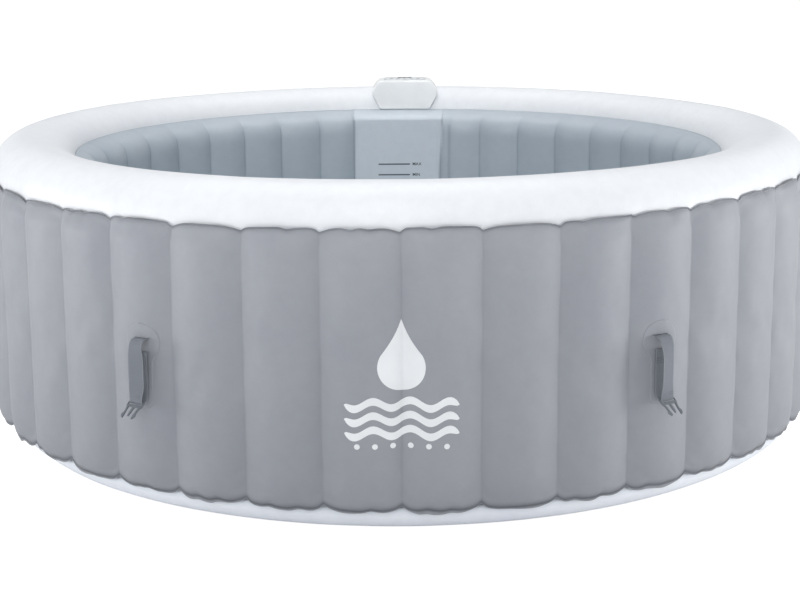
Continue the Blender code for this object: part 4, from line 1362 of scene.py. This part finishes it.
def make_strap(i, deg):
    outwards, along = directions_at(deg)
    path = [(p.x, p.y) for p in spline([(out, z, 0) for out, z in STRAP_PATH], 0.0021)]
    section = strap_section()
    verts, tape, length = [], [], 0.0
    for j, (out, z) in enumerate(path):
        before, after = path[max(j - 1, 0)], path[min(j + 1, len(path) - 1)]
        run = Vector((after[0] - before[0], after[1] - before[1])).normalized()
        face = Vector((-run.y, run.x))
        if j:
            length += hypot(out - path[j - 1][0], z - path[j - 1][1])
        free = smooth01((out - 0.012) / 0.012)
        front = smooth01((out - 0.019) / 0.005)
        front = front * smooth01((0.374 - z) / 0.040) * smooth01((z - 0.252) / 0.035)
        shift = 0.0010 * ripple(length * 9, i * 3.3) * free + STRAP_SHIFT[i - 1] * front
        twist = 0.045 * ripple(length * 7, i * 5.1, 2.0) * free - STRAP_TURN[i - 1] * front
        for across, through in section:
            crown = 0.00055 * (1 - (across / STRAP_HALF_WIDTH) ** 2) * free
            lift = through + crown + twist * across
            verts.append(outwards * (CREST_RADIUS + out + face.x * lift)
                         + UP * (z + face.y * lift) + along * (across + shift))
            tape.append((across * 1000, length * 1000))
    n = len(section)
    faces = []
    for j in range(len(path) - 1):
        for k in range(n):
            q = (k + 1) % n
            faces.append((j * n + k, (j + 1) * n + k, (j + 1) * n + q, j * n + q))
    faces += [tuple(range(n)), tuple(range((len(path) - 1) * n, len(path) * n))[::-1]]
    mesh = raw_mesh(f"lift_strap_{i}", verts, faces)
    layer = mesh.uv_layers.new(name="tape")
    corners = np.empty(len(mesh.loops), dtype=np.int32)
    mesh.loops.foreach_get("vertex_index", corners)
    layer.data.foreach_set("uv", np.array(tape, dtype=np.float32)[corners].ravel())
    face_outwards(mesh)
    shade(mesh, sharp=60)
    obj = add_object(f"lift_strap_{i}", mesh, "webbing")
    deliver(obj, rides=f"handle_{i}", replaces=f"handle_strap_{i}")


def add_stitch(verts, faces, centre, along, normal):
    first = len(verts)
    side = along.cross(normal)
    # share of the length, share of the radius: the ends are thin and sunk
    for place, girth in ((-0.5, 0.35), (-0.3, 1.0), (0.3, 1.0), (0.5, 0.35)):
        for k in range(6):
            angle = tau * k / 6
            ring = (side * cos(angle) + normal * sin(angle)) * (STITCH_RADIUS * girth)
            verts.append(centre + along * (STITCH_LENGTH * place) + ring
                         - normal * (0.00012 if girth < 1 else 0))
    for i in range(3):
        for k in range(6):
            q = (k + 1) % 6
            low, high = first + i * 6, first + (i + 1) * 6
            faces.append((low + k, low + q, high + q, high + k))
    faces.append(tuple(first + k for k in range(6))[::-1])
    faces.append(tuple(first + 18 + k for k in range(6)))


def make_stitching(i, deg):
    """Three rows on the run against the wall, two on the front run above the buckle."""
    outwards, along = directions_at(deg)
    verts, faces = [], []
    for z, out in STITCH_ROWS:
        for k in range(-4, 5):
            centre = (outwards * (CREST_RADIUS + out) + UP * (z + 0.0002 * (k % 2))
                      + along * (k * STITCH_PITCH))
            add_stitch(verts, faces, centre, along, outwards)
    obj = mesh_object(f"strap_stitching_{i}", verts, faces, "thread")
    deliver(obj, rides=f"handle_{i}")


def make_buckle(i, deg):
    """Insert half of a side-release buckle: frame, two sprung arms, centre guide and a rib."""
    outwards, along = directions_at(deg)
    tilt = radians(BUCKLE_TILT)
    ahead = outwards * cos(tilt) - UP * sin(tilt)
    matrix = Matrix((along, ahead, ahead.cross(along))).transposed().to_4x4()
    matrix.translation = outwards * (CREST_RADIUS + BUCKLE_OUT) + UP * BUCKLE_Z
    front = BUCKLE_FRONT
    root = front - 0.0012
    edge = round_box(-BUCKLE_HALF_WIDTH, BUCKLE_BACK, BUCKLE_HALF_WIDTH, front, 0.0022, 4)
    hole = round_poly([(-0.0172, 0.0016), (-0.0172, 0.0086), (0.0172, 0.0086),
                       (0.0172, 0.0016)], 0.0012)
    parts = [rounded_plate("frame", [edge, hole], 0.0036, 0.0008, "buckle", matrix)]
    for side in (1, -1):
        arm = [(0.0180, root), (0.0166, front + 0.0030), (0.0154, 0.0245), (0.0151, 0.0305),
               (0.0168, 0.0322), (0.0174, 0.0340), (0.0170, 0.0372), (0.0150, 0.0412),
               (0.0128, 0.0434), (0.0106, 0.0430), (0.0101, 0.0402), (0.0106, 0.0340),
               (0.0112, 0.0250), (0.0118, front + 0.0040), (0.0124, root)]
        arm = [(side * x, y) for x, y in arm][::side]
        parts.append(rounded_plate("arm", [round_poly(arm, 0.0014)], 0.0034, 0.0009, "buckle",
                                   matrix @ Matrix.Translation((0, 0, 0.0001 * side))))
    guide = [(0.0030, root), (0.0026, 0.0300), (0.0020, 0.0362), (0.0, 0.0384),
             (-0.0020, 0.0362), (-0.0026, 0.0300), (-0.0030, root)]
    parts.append(rounded_plate("guide", [round_poly(guide, 0.0008)], 0.0026, 0.0006,
                               "buckle", matrix))
    rib = round_box(-0.0165, 0.0106, 0.0165, 0.0128, 0.0009)
    parts.append(rounded_plate("rib", [rib], 0.0010, 0.0004, "buckle",
                               matrix @ Matrix.Translation((0, 0, 0.0021))))
    deliver(join(f"buckle_insert_{i}", parts),
            rides=f"lid_buckle_{i}", replaces=f"lid_buckle_{i}")


for number, deg in enumerate(HANDLE_ANGLES, 1):
    for make in (make_patch, make_slot, make_strap, make_stitching, make_buckle):
        make(number, deg)

# ---------------------------------------------------------------- the print on the front
# a drop over three waves and a row of bubbles; x along the wall, then z
DROP_RADIUS, DROP_CENTRE_Z, DROP_TIP_Z = 0.0470, 0.3500, 0.4440
WAVE_HEIGHTS = (0.2760, 0.2475, 0.2190)
WAVE_HALF_WIDTH, WAVE_THICKNESS = 0.112, 0.0155
WAVE_RISE, WAVE_LENGTH = 0.0076, 0.0745
BUBBLE_RADIUS, BUBBLE_Z, BUBBLE_FIRST_X, BUBBLE_PITCH = 0.0056, 0.1925, -0.0875, 0.035


def drop_flank(x, z):
    """From a shoulder of the drop up to just below the tip, bowed inwards."""
    shares = [k / 15 for k in range(1, 15)]
    return [(x * (1 - t) - copysign(0.0042 * sin(pi * t), x), z + (DROP_TIP_Z - z) * t)
            for t in shares]


def drop_outline():
    spread = acos(DROP_RADIUS / (DROP_TIP_Z - DROP_CENTRE_Z))
    points = []
    for k in range(49):                 # round bottom, from the right shoulder to the left one
        angle = pi / 2 - spread - (2 * pi - 2 * spread) * k / 48
        points.append((DROP_RADIUS * cos(angle), DROP_CENTRE_Z + DROP_RADIUS * sin(angle)))
    right, left = points[0], points[-1]
    points += drop_flank(*left) + [(0.0, DROP_TIP_Z)] + drop_flank(*right)[::-1]
    return points[::-1]


def wave_outline(middle):
    half, steps = WAVE_HALF_WIDTH, 56
    high, low = [], []
    for k in range(steps + 1):
        x = -half + 2 * half * k / steps
        taper = min(1.0, (half - abs(x)) / 0.016)
        thick = WAVE_THICKNESS * sqrt(max(0.02, 1 - (1 - taper) ** 2)) / 2
        z = middle + WAVE_RISE * sin(tau * (x / WAVE_LENGTH))
        high.append((x, z + thick))
        low.append((x, z - thick))
    return low + high[::-1]


bubbles = [circle(BUBBLE_FIRST_X + BUBBLE_PITCH * k, BUBBLE_Z, BUBBLE_RADIUS, 20)
           for k in range(6)]
outlines = [drop_outline()] + [wave_outline(z) for z in WAVE_HEIGHTS] + bubbles
deliver(print_on("front_print", outlines, on_wall, thickness=0.00028, look="print_white",
                 cell=0.0045))

# ---------------------------------------------------------------- panel in the pool, level marks
PANEL_X, PANEL_Z = (-0.1255, 0.1125), (0.0780, 0.6165)
PANEL_CORNER = 0.030
PANEL_ROWS = 56
PANEL_HALF_COLUMNS = (1, 0.992, 0.975, 0.95, 0.90, 0.80, 0.62, 0.40, 0.20)
LEVELS = (("MAX", 0.4820), ("MIN", 0.4500))


def make_panel():
    (x0, x1), (z0, z1) = PANEL_X, PANEL_Z
    centre_x, centre_z = (x0 + x1) / 2, (z0 + z1) / 2
    half_x, half_z = (x1 - x0) / 2, (z1 - z0) / 2
    corner = PANEL_CORNER
    across = [-a for a in PANEL_HALF_COLUMNS] + [0] + list(PANEL_HALF_COLUMNS[::-1])
    rows = []
    for j in range(PANEL_ROWS + 1):
        eased = 0.5 - 0.5 * cos(pi * j / PANEL_ROWS)
        z = z0 + (z1 - z0) * (0.5 * eased + 0.5 * j / PANEL_ROWS)
        over = max(0.0, abs(z - centre_z) - (half_z - corner))
        half_width = half_x - corner + sqrt(max(0.0, corner * corner - over * over))
        row = []
        for share in across:
            x = centre_x + share * half_width
            depth = max(0.0, inside_round_box(x - centre_x, z - centre_z, half_x, half_z, corner))
            field = smooth01(depth / 0.02)
            # rounded edge, a welded groove inside it, slow waves and one upright fold
            lift = 0.00005 + 0.0007 * smooth01(depth / 0.0022)
            lift += -0.0003 * hump(depth - 0.0065, 0.0014)
            lift += 0.0004 * billow(x * 9, z * 7, 5.0) * field
            lift += 0.0007 * hump(x - 0.086, 0.006) * field
            row.append(Vector((x, FLAT_Y - 0.00005 - lift, z)))
        rows.append(row)
    # the panel's vinyl is a lighter copy of the liner's: painted light
    obj = mesh_object("panel_skin", *grid_mesh(rows), "panel")
    subdivide(obj)
    thicken(obj, 0.0010)
    deliver(obj, replaces="level_panel")
    return obj


PANEL_TREE = ray_tree(make_panel())


def on_panel(x, z):
    """Point and normal of the panel's pool side."""
    hit, normal, _, _ = PANEL_TREE.ray_cast(Vector((x, 0.60, z)), Vector((0, 1, 0)), 0.4)
    if hit is None:
        return Vector((x, FLAT_Y - 0.0014, z)), Vector((0, -1, 0))
    return hit, (normal if normal.y < 0 else -normal)


def make_label(text, z):
    """Upright lettering to the right of a level line."""
    name = f"level_label_{text.lower()}"
    curve = bpy.data.curves.new("legend", "FONT")
    curve.body, curve.size = text, 0.0125
    curve.align_x, curve.align_y = "LEFT", "CENTER"
    curve.extrude, curve.resolution_u, curve.offset = 0.00012, 4, 0.00022
    mesh = curve_to_mesh(name, curve)
    with editing(mesh) as work:
        bmesh.ops.remove_doubles(work, verts=work.verts, dist=0.00001)
        work.transform(Matrix.Translation((0.0375, on_panel(0.05, z)[0].y - 0.00030, z))
                       @ Matrix.Rotation(radians(90), 4, "X"))
        bmesh.ops.recalc_face_normals(work, faces=work.faces)
    deliver(add_object(name, mesh, "mark_dark"))


bars = [round_box(-0.0640, z - 0.0019, 0.0300, z + 0.0019, 0.0012) for _, z in LEVELS]
deliver(print_on("level_lines", bars, on_panel, thickness=0.00022, look="mark_dark",
                 cell=0.006))
for text, z in LEVELS:
    make_label(text, z)

# ---------------------------------------------------------------- console
# right half of the console's section: x from its middle, height below its top
CONSOLE_HALF = (
    (0.0, 0.0), (0.030, 0.0), (0.058, 0.0002), (0.0700, 0.0006), (0.0768, 0.0026),
    (0.0834, 0.0080), (0.0893, 0.0145), (0.0940, 0.0210), (0.0966, 0.0270), (0.0974, 0.0330),
    (0.0961, 0.0400), (0.0925, 0.0480), (0.0876, 0.0570), (0.0823, 0.0670), (0.0772, 0.0765),
    (0.0744, 0.0804), (0.0690, 0.0822), (0.0560, 0.0826), (0.030, 0.0826), (0.0, 0.0826),
)
CONSOLE_FRONT_RADIUS = 0.8175           # the front follows this circle about the tub's axis
FRONT_EDGE, BACK_EDGE = 0.0046, 0.0190  # edge roundings
EDGE_STEPS = 8
INSET_X, INSET_Z = 0.0995, 0.0465       # half sizes that turn an inset into a scale
RIM_CLEARANCE, TRAY_CLEARANCE = 0.0022, 0.0010


def console_skin(low, high):
    """The closed shell, from its rounded front edge to its rounded back edge."""
    middle_x, front, back, top = (low[0] + high[0]) / 2, low[1], high[1], high[2]
    side = [(p.x, p.y) for p in spline([(x, top - down, 0) for x, down in CONSOLE_HALF], 0.0042)]
    loop = side + [(-x, z) for x, z in reversed(side[1:-1])]
    middle = top - 0.045

    def seat(x, y, z):
        """Bends the front to its circle and lifts its upper lip a little."""
        near = 1 - smooth01((y - front) / 0.045)
        lip = 0.0042 * near * max(0.0, (z - middle) / (top - middle)) ** 2
        return Vector((x, y + near * (sqrt(CONSOLE_FRONT_RADIUS ** 2 - x * x) - front), z + lip))

    def ring(y, inset, share=1.0):
        scale_x, scale_z = 1 - inset / INSET_X, 1 - inset / INSET_Z
        return [seat(middle_x + x * scale_x * share, y, middle + (z - middle) * scale_z * share)
                for x, z in loop]

    def edge_rings(end, radius, inwards):
        angles = [pi / 2 * k / EDGE_STEPS for k in range(EDGE_STEPS + 1)]
        return [ring(end + inwards * radius * (1 - sin(a)), radius * (1 - cos(a)))
                for a in angles]

    rings = edge_rings(front, FRONT_EDGE, 1)[::-1]
    rings += [ring(front + FRONT_EDGE + (back - front - FRONT_EDGE - BACK_EDGE) * share, 0.0)
              for share in (0.2, 0.4, 0.6, 0.8)]
    rings += edge_rings(back, BACK_EDGE, -1)
    verts, faces = grid_mesh(rings, closed=True)
    n = len(loop)
    for first, y, inset in ((0, front, FRONT_EDGE), ((len(rings) - 1) * n, back, BACK_EDGE)):
        outer = list(range(first, first + n))
        for share in (0.75, 0.5, 0.25):
            k = len(verts)
            verts += ring(y, inset, share)
            for j in range(n):
                q = (j + 1) % n
                faces.append((outer[j], outer[q], k + q, k + j))
            outer = list(range(k, k + n))
        faces += [(outer[j], outer[(j + 1) % n], len(verts)) for j in range(n)]
        verts.append(seat(middle_x, y, middle))
    obj = mesh_object("console_skin", verts, faces, "abs_white")
    face_outwards(obj.data)
    return obj


def rim_cutter():
    """A stretch of the rim at the back, with clearance."""
    sides = 72
    rows = [[polar(RIM_RADIUS + (RIM_HALF_WIDTH + RIM_CLEARANCE) * cos(tau * k / sides), deg,
                   RIM_HEIGHT + (RIM_HALF_HEIGHT + RIM_CLEARANCE) * sin(tau * k / sides))
             for k in range(sides)] for deg in range(158, 203)]
    verts, faces = grid_mesh(rows, closed=True)
    last = (len(rows) - 1) * sides
    faces += [tuple(range(sides)), tuple(range(last, last + sides))[::-1]]
    obj = mesh_object("cut_rim", verts, faces, smooth=False)
    face_outwards(obj.data)
    return obj


def block_cutter(name, outline, edge, bottom):
    height = 0.060
    return rounded_plate(name, [outline], height, edge, "abs_white",
                         Matrix.Translation((0, 0, bottom + height / 2)))


def make_console():
    """The shell, cut for the rim, the controller's tray and its cable slot."""
    low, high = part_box("console_shell")
    obj = console_skin(low, high)
    middle_x = (low[0] + high[0]) / 2
    (x0, y0, z0), (x1, y1, _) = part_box("controller_body")
    cable_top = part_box("controller_cable")[1][2]
    gap = TRAY_CLEARANCE
    cutters = (
        rim_cutter(),
        block_cutter("cut_tray", round_box(x0 - gap, y0 - gap, x1 + gap, y1 + gap, 0.004, 4),
                     edge=0.0005, bottom=z0 - 0.0004),
        block_cutter("cut_slot", round_box(middle_x - 0.0058, y1 - 0.004, middle_x + 0.0058,
                                           high[1] + 0.02, 0.001, 2),
                     edge=0.0004, bottom=cable_top - 0.0072),
    )
    for cutter in cutters:
        cut = obj.modifiers.new("cut", "BOOLEAN")
        cut.operation, cut.object, cut.solver = "DIFFERENCE", cutter, "EXACT"
    bpy.context.view_layer.update()
    bake(obj)
    for cutter in cutters:
        discard(cutter)
    with editing(obj.data) as work:
        bmesh.ops.remove_doubles(work, verts=work.verts, dist=0.00002)
        bmesh.ops.dissolve_degenerate(work, edges=work.edges, dist=0.00002)
    obj.data.materials.clear()
    obj.data.materials.append(LOOKS["abs_white"])
    obj.data.polygons.foreach_set("material_index", [0] * len(obj.data.polygons))
    shade(obj.data, sharp=32)
    deliver(obj, replaces="console_shell")


make_console()

# ---------------------------------------------------------------- controller display and keys
# figures: half width of a segment, its height, half thickness; height of their middle
SEGMENT_WIDTH, SEGMENT_HEIGHT, SEGMENT_EDGE, FIGURE_Y = 0.0034, 0.0056, 0.0010, 0.0190
# segment: columns and rows from the figure's middle, and whether it lies across
SEGMENT_PLACES = {"a": (0, 1, True), "g": (0, 0, True), "d": (0, -1, True),
                  "b": (1, 0.5, False), "c": (1, -0.5, False),
                  "f": (-1, 0.5, False), "e": (-1, -0.5, False)}


def figure(segments, middle):
    """Outlines of a seven-segment figure."""
    width, height, edge = SEGMENT_WIDTH, SEGMENT_HEIGHT, SEGMENT_EDGE
    made = []
    for key in segments:
        column, row, lies_across = SEGMENT_PLACES[key]
        x, y = middle + column * width, FIGURE_Y + row * height
        if lies_across:
            tip, shoulder, side = width - edge, width - 2 * edge, edge * 0.7
            points = [(-tip, 0), (-shoulder, -side), (shoulder, -side), (tip, 0),
                      (shoulder, side), (-shoulder, side)]
        else:
            tip, shoulder = height / 2 - edge * 0.6, height / 2 - edge * 1.6
            side = edge * 0.7
            points = [(0, -tip), (side, -shoulder), (side, shoulder), (0, tip),
                      (-side, shoulder), (-side, -shoulder)]
        made.append([(x + across, y + up) for across, up in points])
    return made


def box_middle(name, z):
    """Moves a drawing to the middle of a CAD piece, at a height."""
    (x0, y0, _), (x1, y1, _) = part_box(name)
    return Matrix.Translation(((x0 + x1) / 2, (y0 + y1) / 2, z))


def make_display():
    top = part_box("controller_face")[1][2]
    window = rounded_plate("display_window", [round_box(-0.021, 0.010, 0.021, 0.028, 0.003, 4)],
                           0.0009, 0.0003, "dark_face",
                           box_middle("controller_face", top + 0.00046))
    deliver(window)
    degree_dot = circle(0.0115, 0.0240, 0.0012, 12)
    figures = rounded_plate("display_figures", figure("abgcd", -0.0080)
                            + figure("abcdefg", 0.0040) + [degree_dot], 0.00030, 0.00008,
                            "legend_white", box_middle("controller_face", top + 0.00100))
    deliver(figures)


PLUS_ARM, PLUS_EDGE = 0.0027, 0.0005
# outlines of the signs printed on the keys
SIGNS = {
    "button_bubbles": [circle(-0.0016, -0.0014, 0.0013), circle(0.0018, -0.0002, 0.0010),
                       circle(-0.0004, 0.0024, 0.0008)],
    "button_filter": [strip(-half, y, half, y, 0.0009)
                      for half, y in ((0.0030, 0.0022), (0.0020, 0.0), (0.0009, -0.0022))],
    "button_heater": [strip(x, -half, x, half, 0.0008)
                      for x, half in ((-0.0020, 0.0022), (0.0, 0.0028), (0.0020, 0.0022))],
    "button_temp_down": [strip(-0.0027, 0.0, 0.0027, 0.0, 0.0010)],
    "button_temp_up": [[(x * PLUS_EDGE if abs(x) == 1 else copysign(PLUS_ARM, x),
                         y * PLUS_EDGE if abs(y) == 1 else copysign(PLUS_ARM, y))
                        for x, y in ((-2, -1), (-1, -1), (-1, -2), (1, -2), (1, -1), (2, -1),
                                     (2, 1), (1, 1), (1, 2), (-1, 2), (-1, 1), (-2, 1))]],
}


def make_key(name, sign):
    low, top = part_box(name)[0][2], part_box(name)[1][2]
    profile = [(0, low), (0.0062, low), (0.0069, low + 0.0004), (0.0069, top - 0.0011),
               (0.0064, top - 0.0004), (0.0050, top - 0.0001), (0.0032, top - 0.0003),
               (0, top - 0.0004)]
    cap = lathe(name + "_cap", profile, "key", box_middle(name, 0), sides=40)
    deliver(cap, rides=name, replaces=name)
    legend = rounded_plate(name + "_sign", sign, 0.00036, 0.00008, "legend_dark",
                           box_middle(name, top - 0.00016))
    deliver(legend, rides=name)


def make_cover_screws():
    """Six cross-head screws on the back face of the equipment cover."""
    (x0, _, z0), (x1, back, z1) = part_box("equipment_cover")
    profile = [(0, 0.0), (0.0042, 0.0), (0.0043, 0.0006), (0.0038, 0.0016), (0.0026, 0.0022),
               (0.0012, 0.0024), (0, 0.00245)]
    parts = []
    for x in (x0 + 0.018, x1 - 0.018):
        for z in (z0 + 0.022, (z0 + z1) / 2 - 0.02, z1 - 0.022):
            matrix = (Matrix.Translation((x, back - 0.0002, z))
                      @ Matrix.Rotation(radians(-90), 4, "X")
                      @ Matrix.Rotation(x * 40 + z * 31, 4, "Z"))
            parts.append(lathe("head", profile, "steel", matrix, sides=28))
            for turn in (0, 1):
                place = (matrix @ Matrix.Translation((0, 0, 0.0024))
                         @ Matrix.Rotation(turn * pi / 2, 4, "Z"))
                # the dark crosses: painted shade in the heads' recesses
                parts.append(rounded_plate("cross", [strip(-0.0022, 0, 0.0022, 0, 0.0008)],
                                           0.0006, 0.0001, "gap", place))
    deliver(join("cover_screws", parts))


def make_reset_key():
    """Reset button of the mains plug."""
    name, thickness = "rcd_reset_button", 0.0054
    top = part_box(name)[1][2]
    key = rounded_plate("reset_key", [round_box(-0.0104, -0.0064, 0.0104, 0.0064, 0.0016, 4)],
                        thickness, 0.0009, "key",
                        box_middle(name, top - thickness / 2)
                        @ Matrix.Rotation(radians(-30), 4, "Z"))
    deliver(key, rides=name, replaces=name)


make_display()
for name, sign in SIGNS.items():
    make_key(name, sign)
make_cover_screws()
make_reset_key()

# ---------------------------------------------------------------- dressing the CAD pieces
SLOT_OF = {part["node"]: part.get("material_slot", part["node"])
           for part in frame["record"]["subparts"]}
OWN_LOOK = {"controller_face": "tray_grey", "controller_body": "tray_grey"}
BEVELLED = ("abs_white", "abs_grey", "buckle", "key", "dark_face", "tray_grey")


def soften_edges(obj):
    weld = obj.modifiers.new("weld", "WELD")
    weld.merge_threshold = 0.00002
    bevel = obj.modifiers.new("edge", "BEVEL")
    bevel.width, bevel.segments = 0.0006, 2
    bevel.limit_method, bevel.angle_limit = "ANGLE", radians(35.0)
    bevel.harden_normals = False
    bevel.miter_outer = "MITER_ARC"


for name, obj in NODES.items():
    look = OWN_LOOK.get(name, SLOT_LOOK[SLOT_OF[name]])
    obj.data.materials.clear()
    obj.data.materials.append(LOOKS[look])
    if look in BEVELLED:
        soften_edges(obj)
    shade(obj.data, sharp=35.0)


# ---------------------------------------------------------------- stage, light and camera
def make_ground():
    """A pale floor that glows to the camera only."""
    ground = mesh_object("ground", [(-40, -20, 0), (40, -20, 0), (40, 60, 0), (-40, 60, 0)],
                         [(0, 1, 2, 3)], smooth=False)
    made = Shader("pale_floor")
    seen = made.node("ShaderNodeLightPath").outputs["Is Camera Ray"]
    tone = made.ramp(made.noise(1.5, detail=2.0),
                     (0.3, (0.93, 0.93, 0.935, 1)), (0.7, (0.95, 0.95, 0.955, 1)))
    seen_tone = made.mix(0.55, tone, (0, 0, 0, 1))
    made.set(Base_Color=made.mix(seen, (0.88, 0.885, 0.89, 1.0), seen_tone),
             Roughness=0.9, Specular_IOR_Level=0.1,
             Emission_Color=(1.0, 1.0, 1.0, 1.0), Emission_Strength=made.times(seen, 0.92))
    ground.data.materials.append(made.material)
    ground.location.z = -0.0005


def make_world():
    """Even light, twice as bright to the camera as on the tub."""
    strength = 0.52
    world = bpy.data.worlds.new("studio")
    scene.world = world
    world.use_nodes = True
    tree = world.node_tree
    background = tree.nodes["Background"]
    background.inputs["Color"].default_value = (0.985, 0.992, 1.0, 1)
    path = tree.nodes.new("ShaderNodeLightPath")
    scale = tree.nodes.new("ShaderNodeMath")
    scale.operation = "MULTIPLY_ADD"
    scale.inputs[1].default_value = strength
    scale.inputs[2].default_value = strength
    tree.links.new(path.outputs["Is Camera Ray"], scale.inputs[0])
    tree.links.new(scale.outputs[0], background.inputs["Strength"])


def area_light(name, location, target, size, power, colour=(1, 1, 1), height=None, spread=None):
    """An area light aimed at the target; a height makes it a rectangle, spread is in degrees."""
    light = bpy.data.lights.new(name, "AREA")
    light.energy, light.size, light.color = power, size, colour
    if height:
        light.shape, light.size_y = "RECTANGLE", height
    if spread:
        light.spread = radians(spread)
    obj = bpy.data.objects.new(name, light)
    scene.collection.objects.link(obj)
    obj.location = location
    obj.rotation_mode = "QUATERNION"
    obj.rotation_quaternion = (Vector(target) - Vector(location)).to_track_quat("-Z", "Y")


def make_camera():
    location = (-0.0013, -3.9686, 1.1858)
    pitch, roll = 0.2002, -0.0064       # radians, pitch downwards
    data = bpy.data.cameras.new("camera")
    data.sensor_width, data.lens = 36.0, 71.79
    data.shift_y = -0.0656
    data.clip_start, data.clip_end = 0.05, 60
    camera = bpy.data.objects.new("camera", data)
    scene.collection.objects.link(camera)
    scene.camera = camera
    camera.matrix_world = (Matrix.Translation(location)
                           @ Matrix.Rotation(pi / 2 - pitch, 4, "X")
                           @ Matrix.Rotation(roll, 4, "Z"))


make_ground()
make_world()
for name, x, power in (("side_left", -5.2, 94), ("side_right", 5.2, 132)):
    area_light(name, (x, -0.9, 0.46), target=(0, -0.1, 0.36), size=4.4, power=power,
               colour=(1.0, 0.995, 0.985), height=0.86)
area_light("front_top", (-0.9, -4.5, 3.6), target=(0, 0.2, 0.42), size=4.2, power=84)
area_light("top", (0, 1.2, 5.0), target=(0, 0.3, 0.4), size=3.6, power=88)
area_light("back_fill", (-0.4, -3.6, 2.6), target=(0.0, 0.85, 0.62), size=0.9, power=1.25,
           spread=34)
make_camera()

scene.view_settings.view_transform = "Standard"
scene.view_settings.look = "None"
scene.view_settings.exposure = 0.0
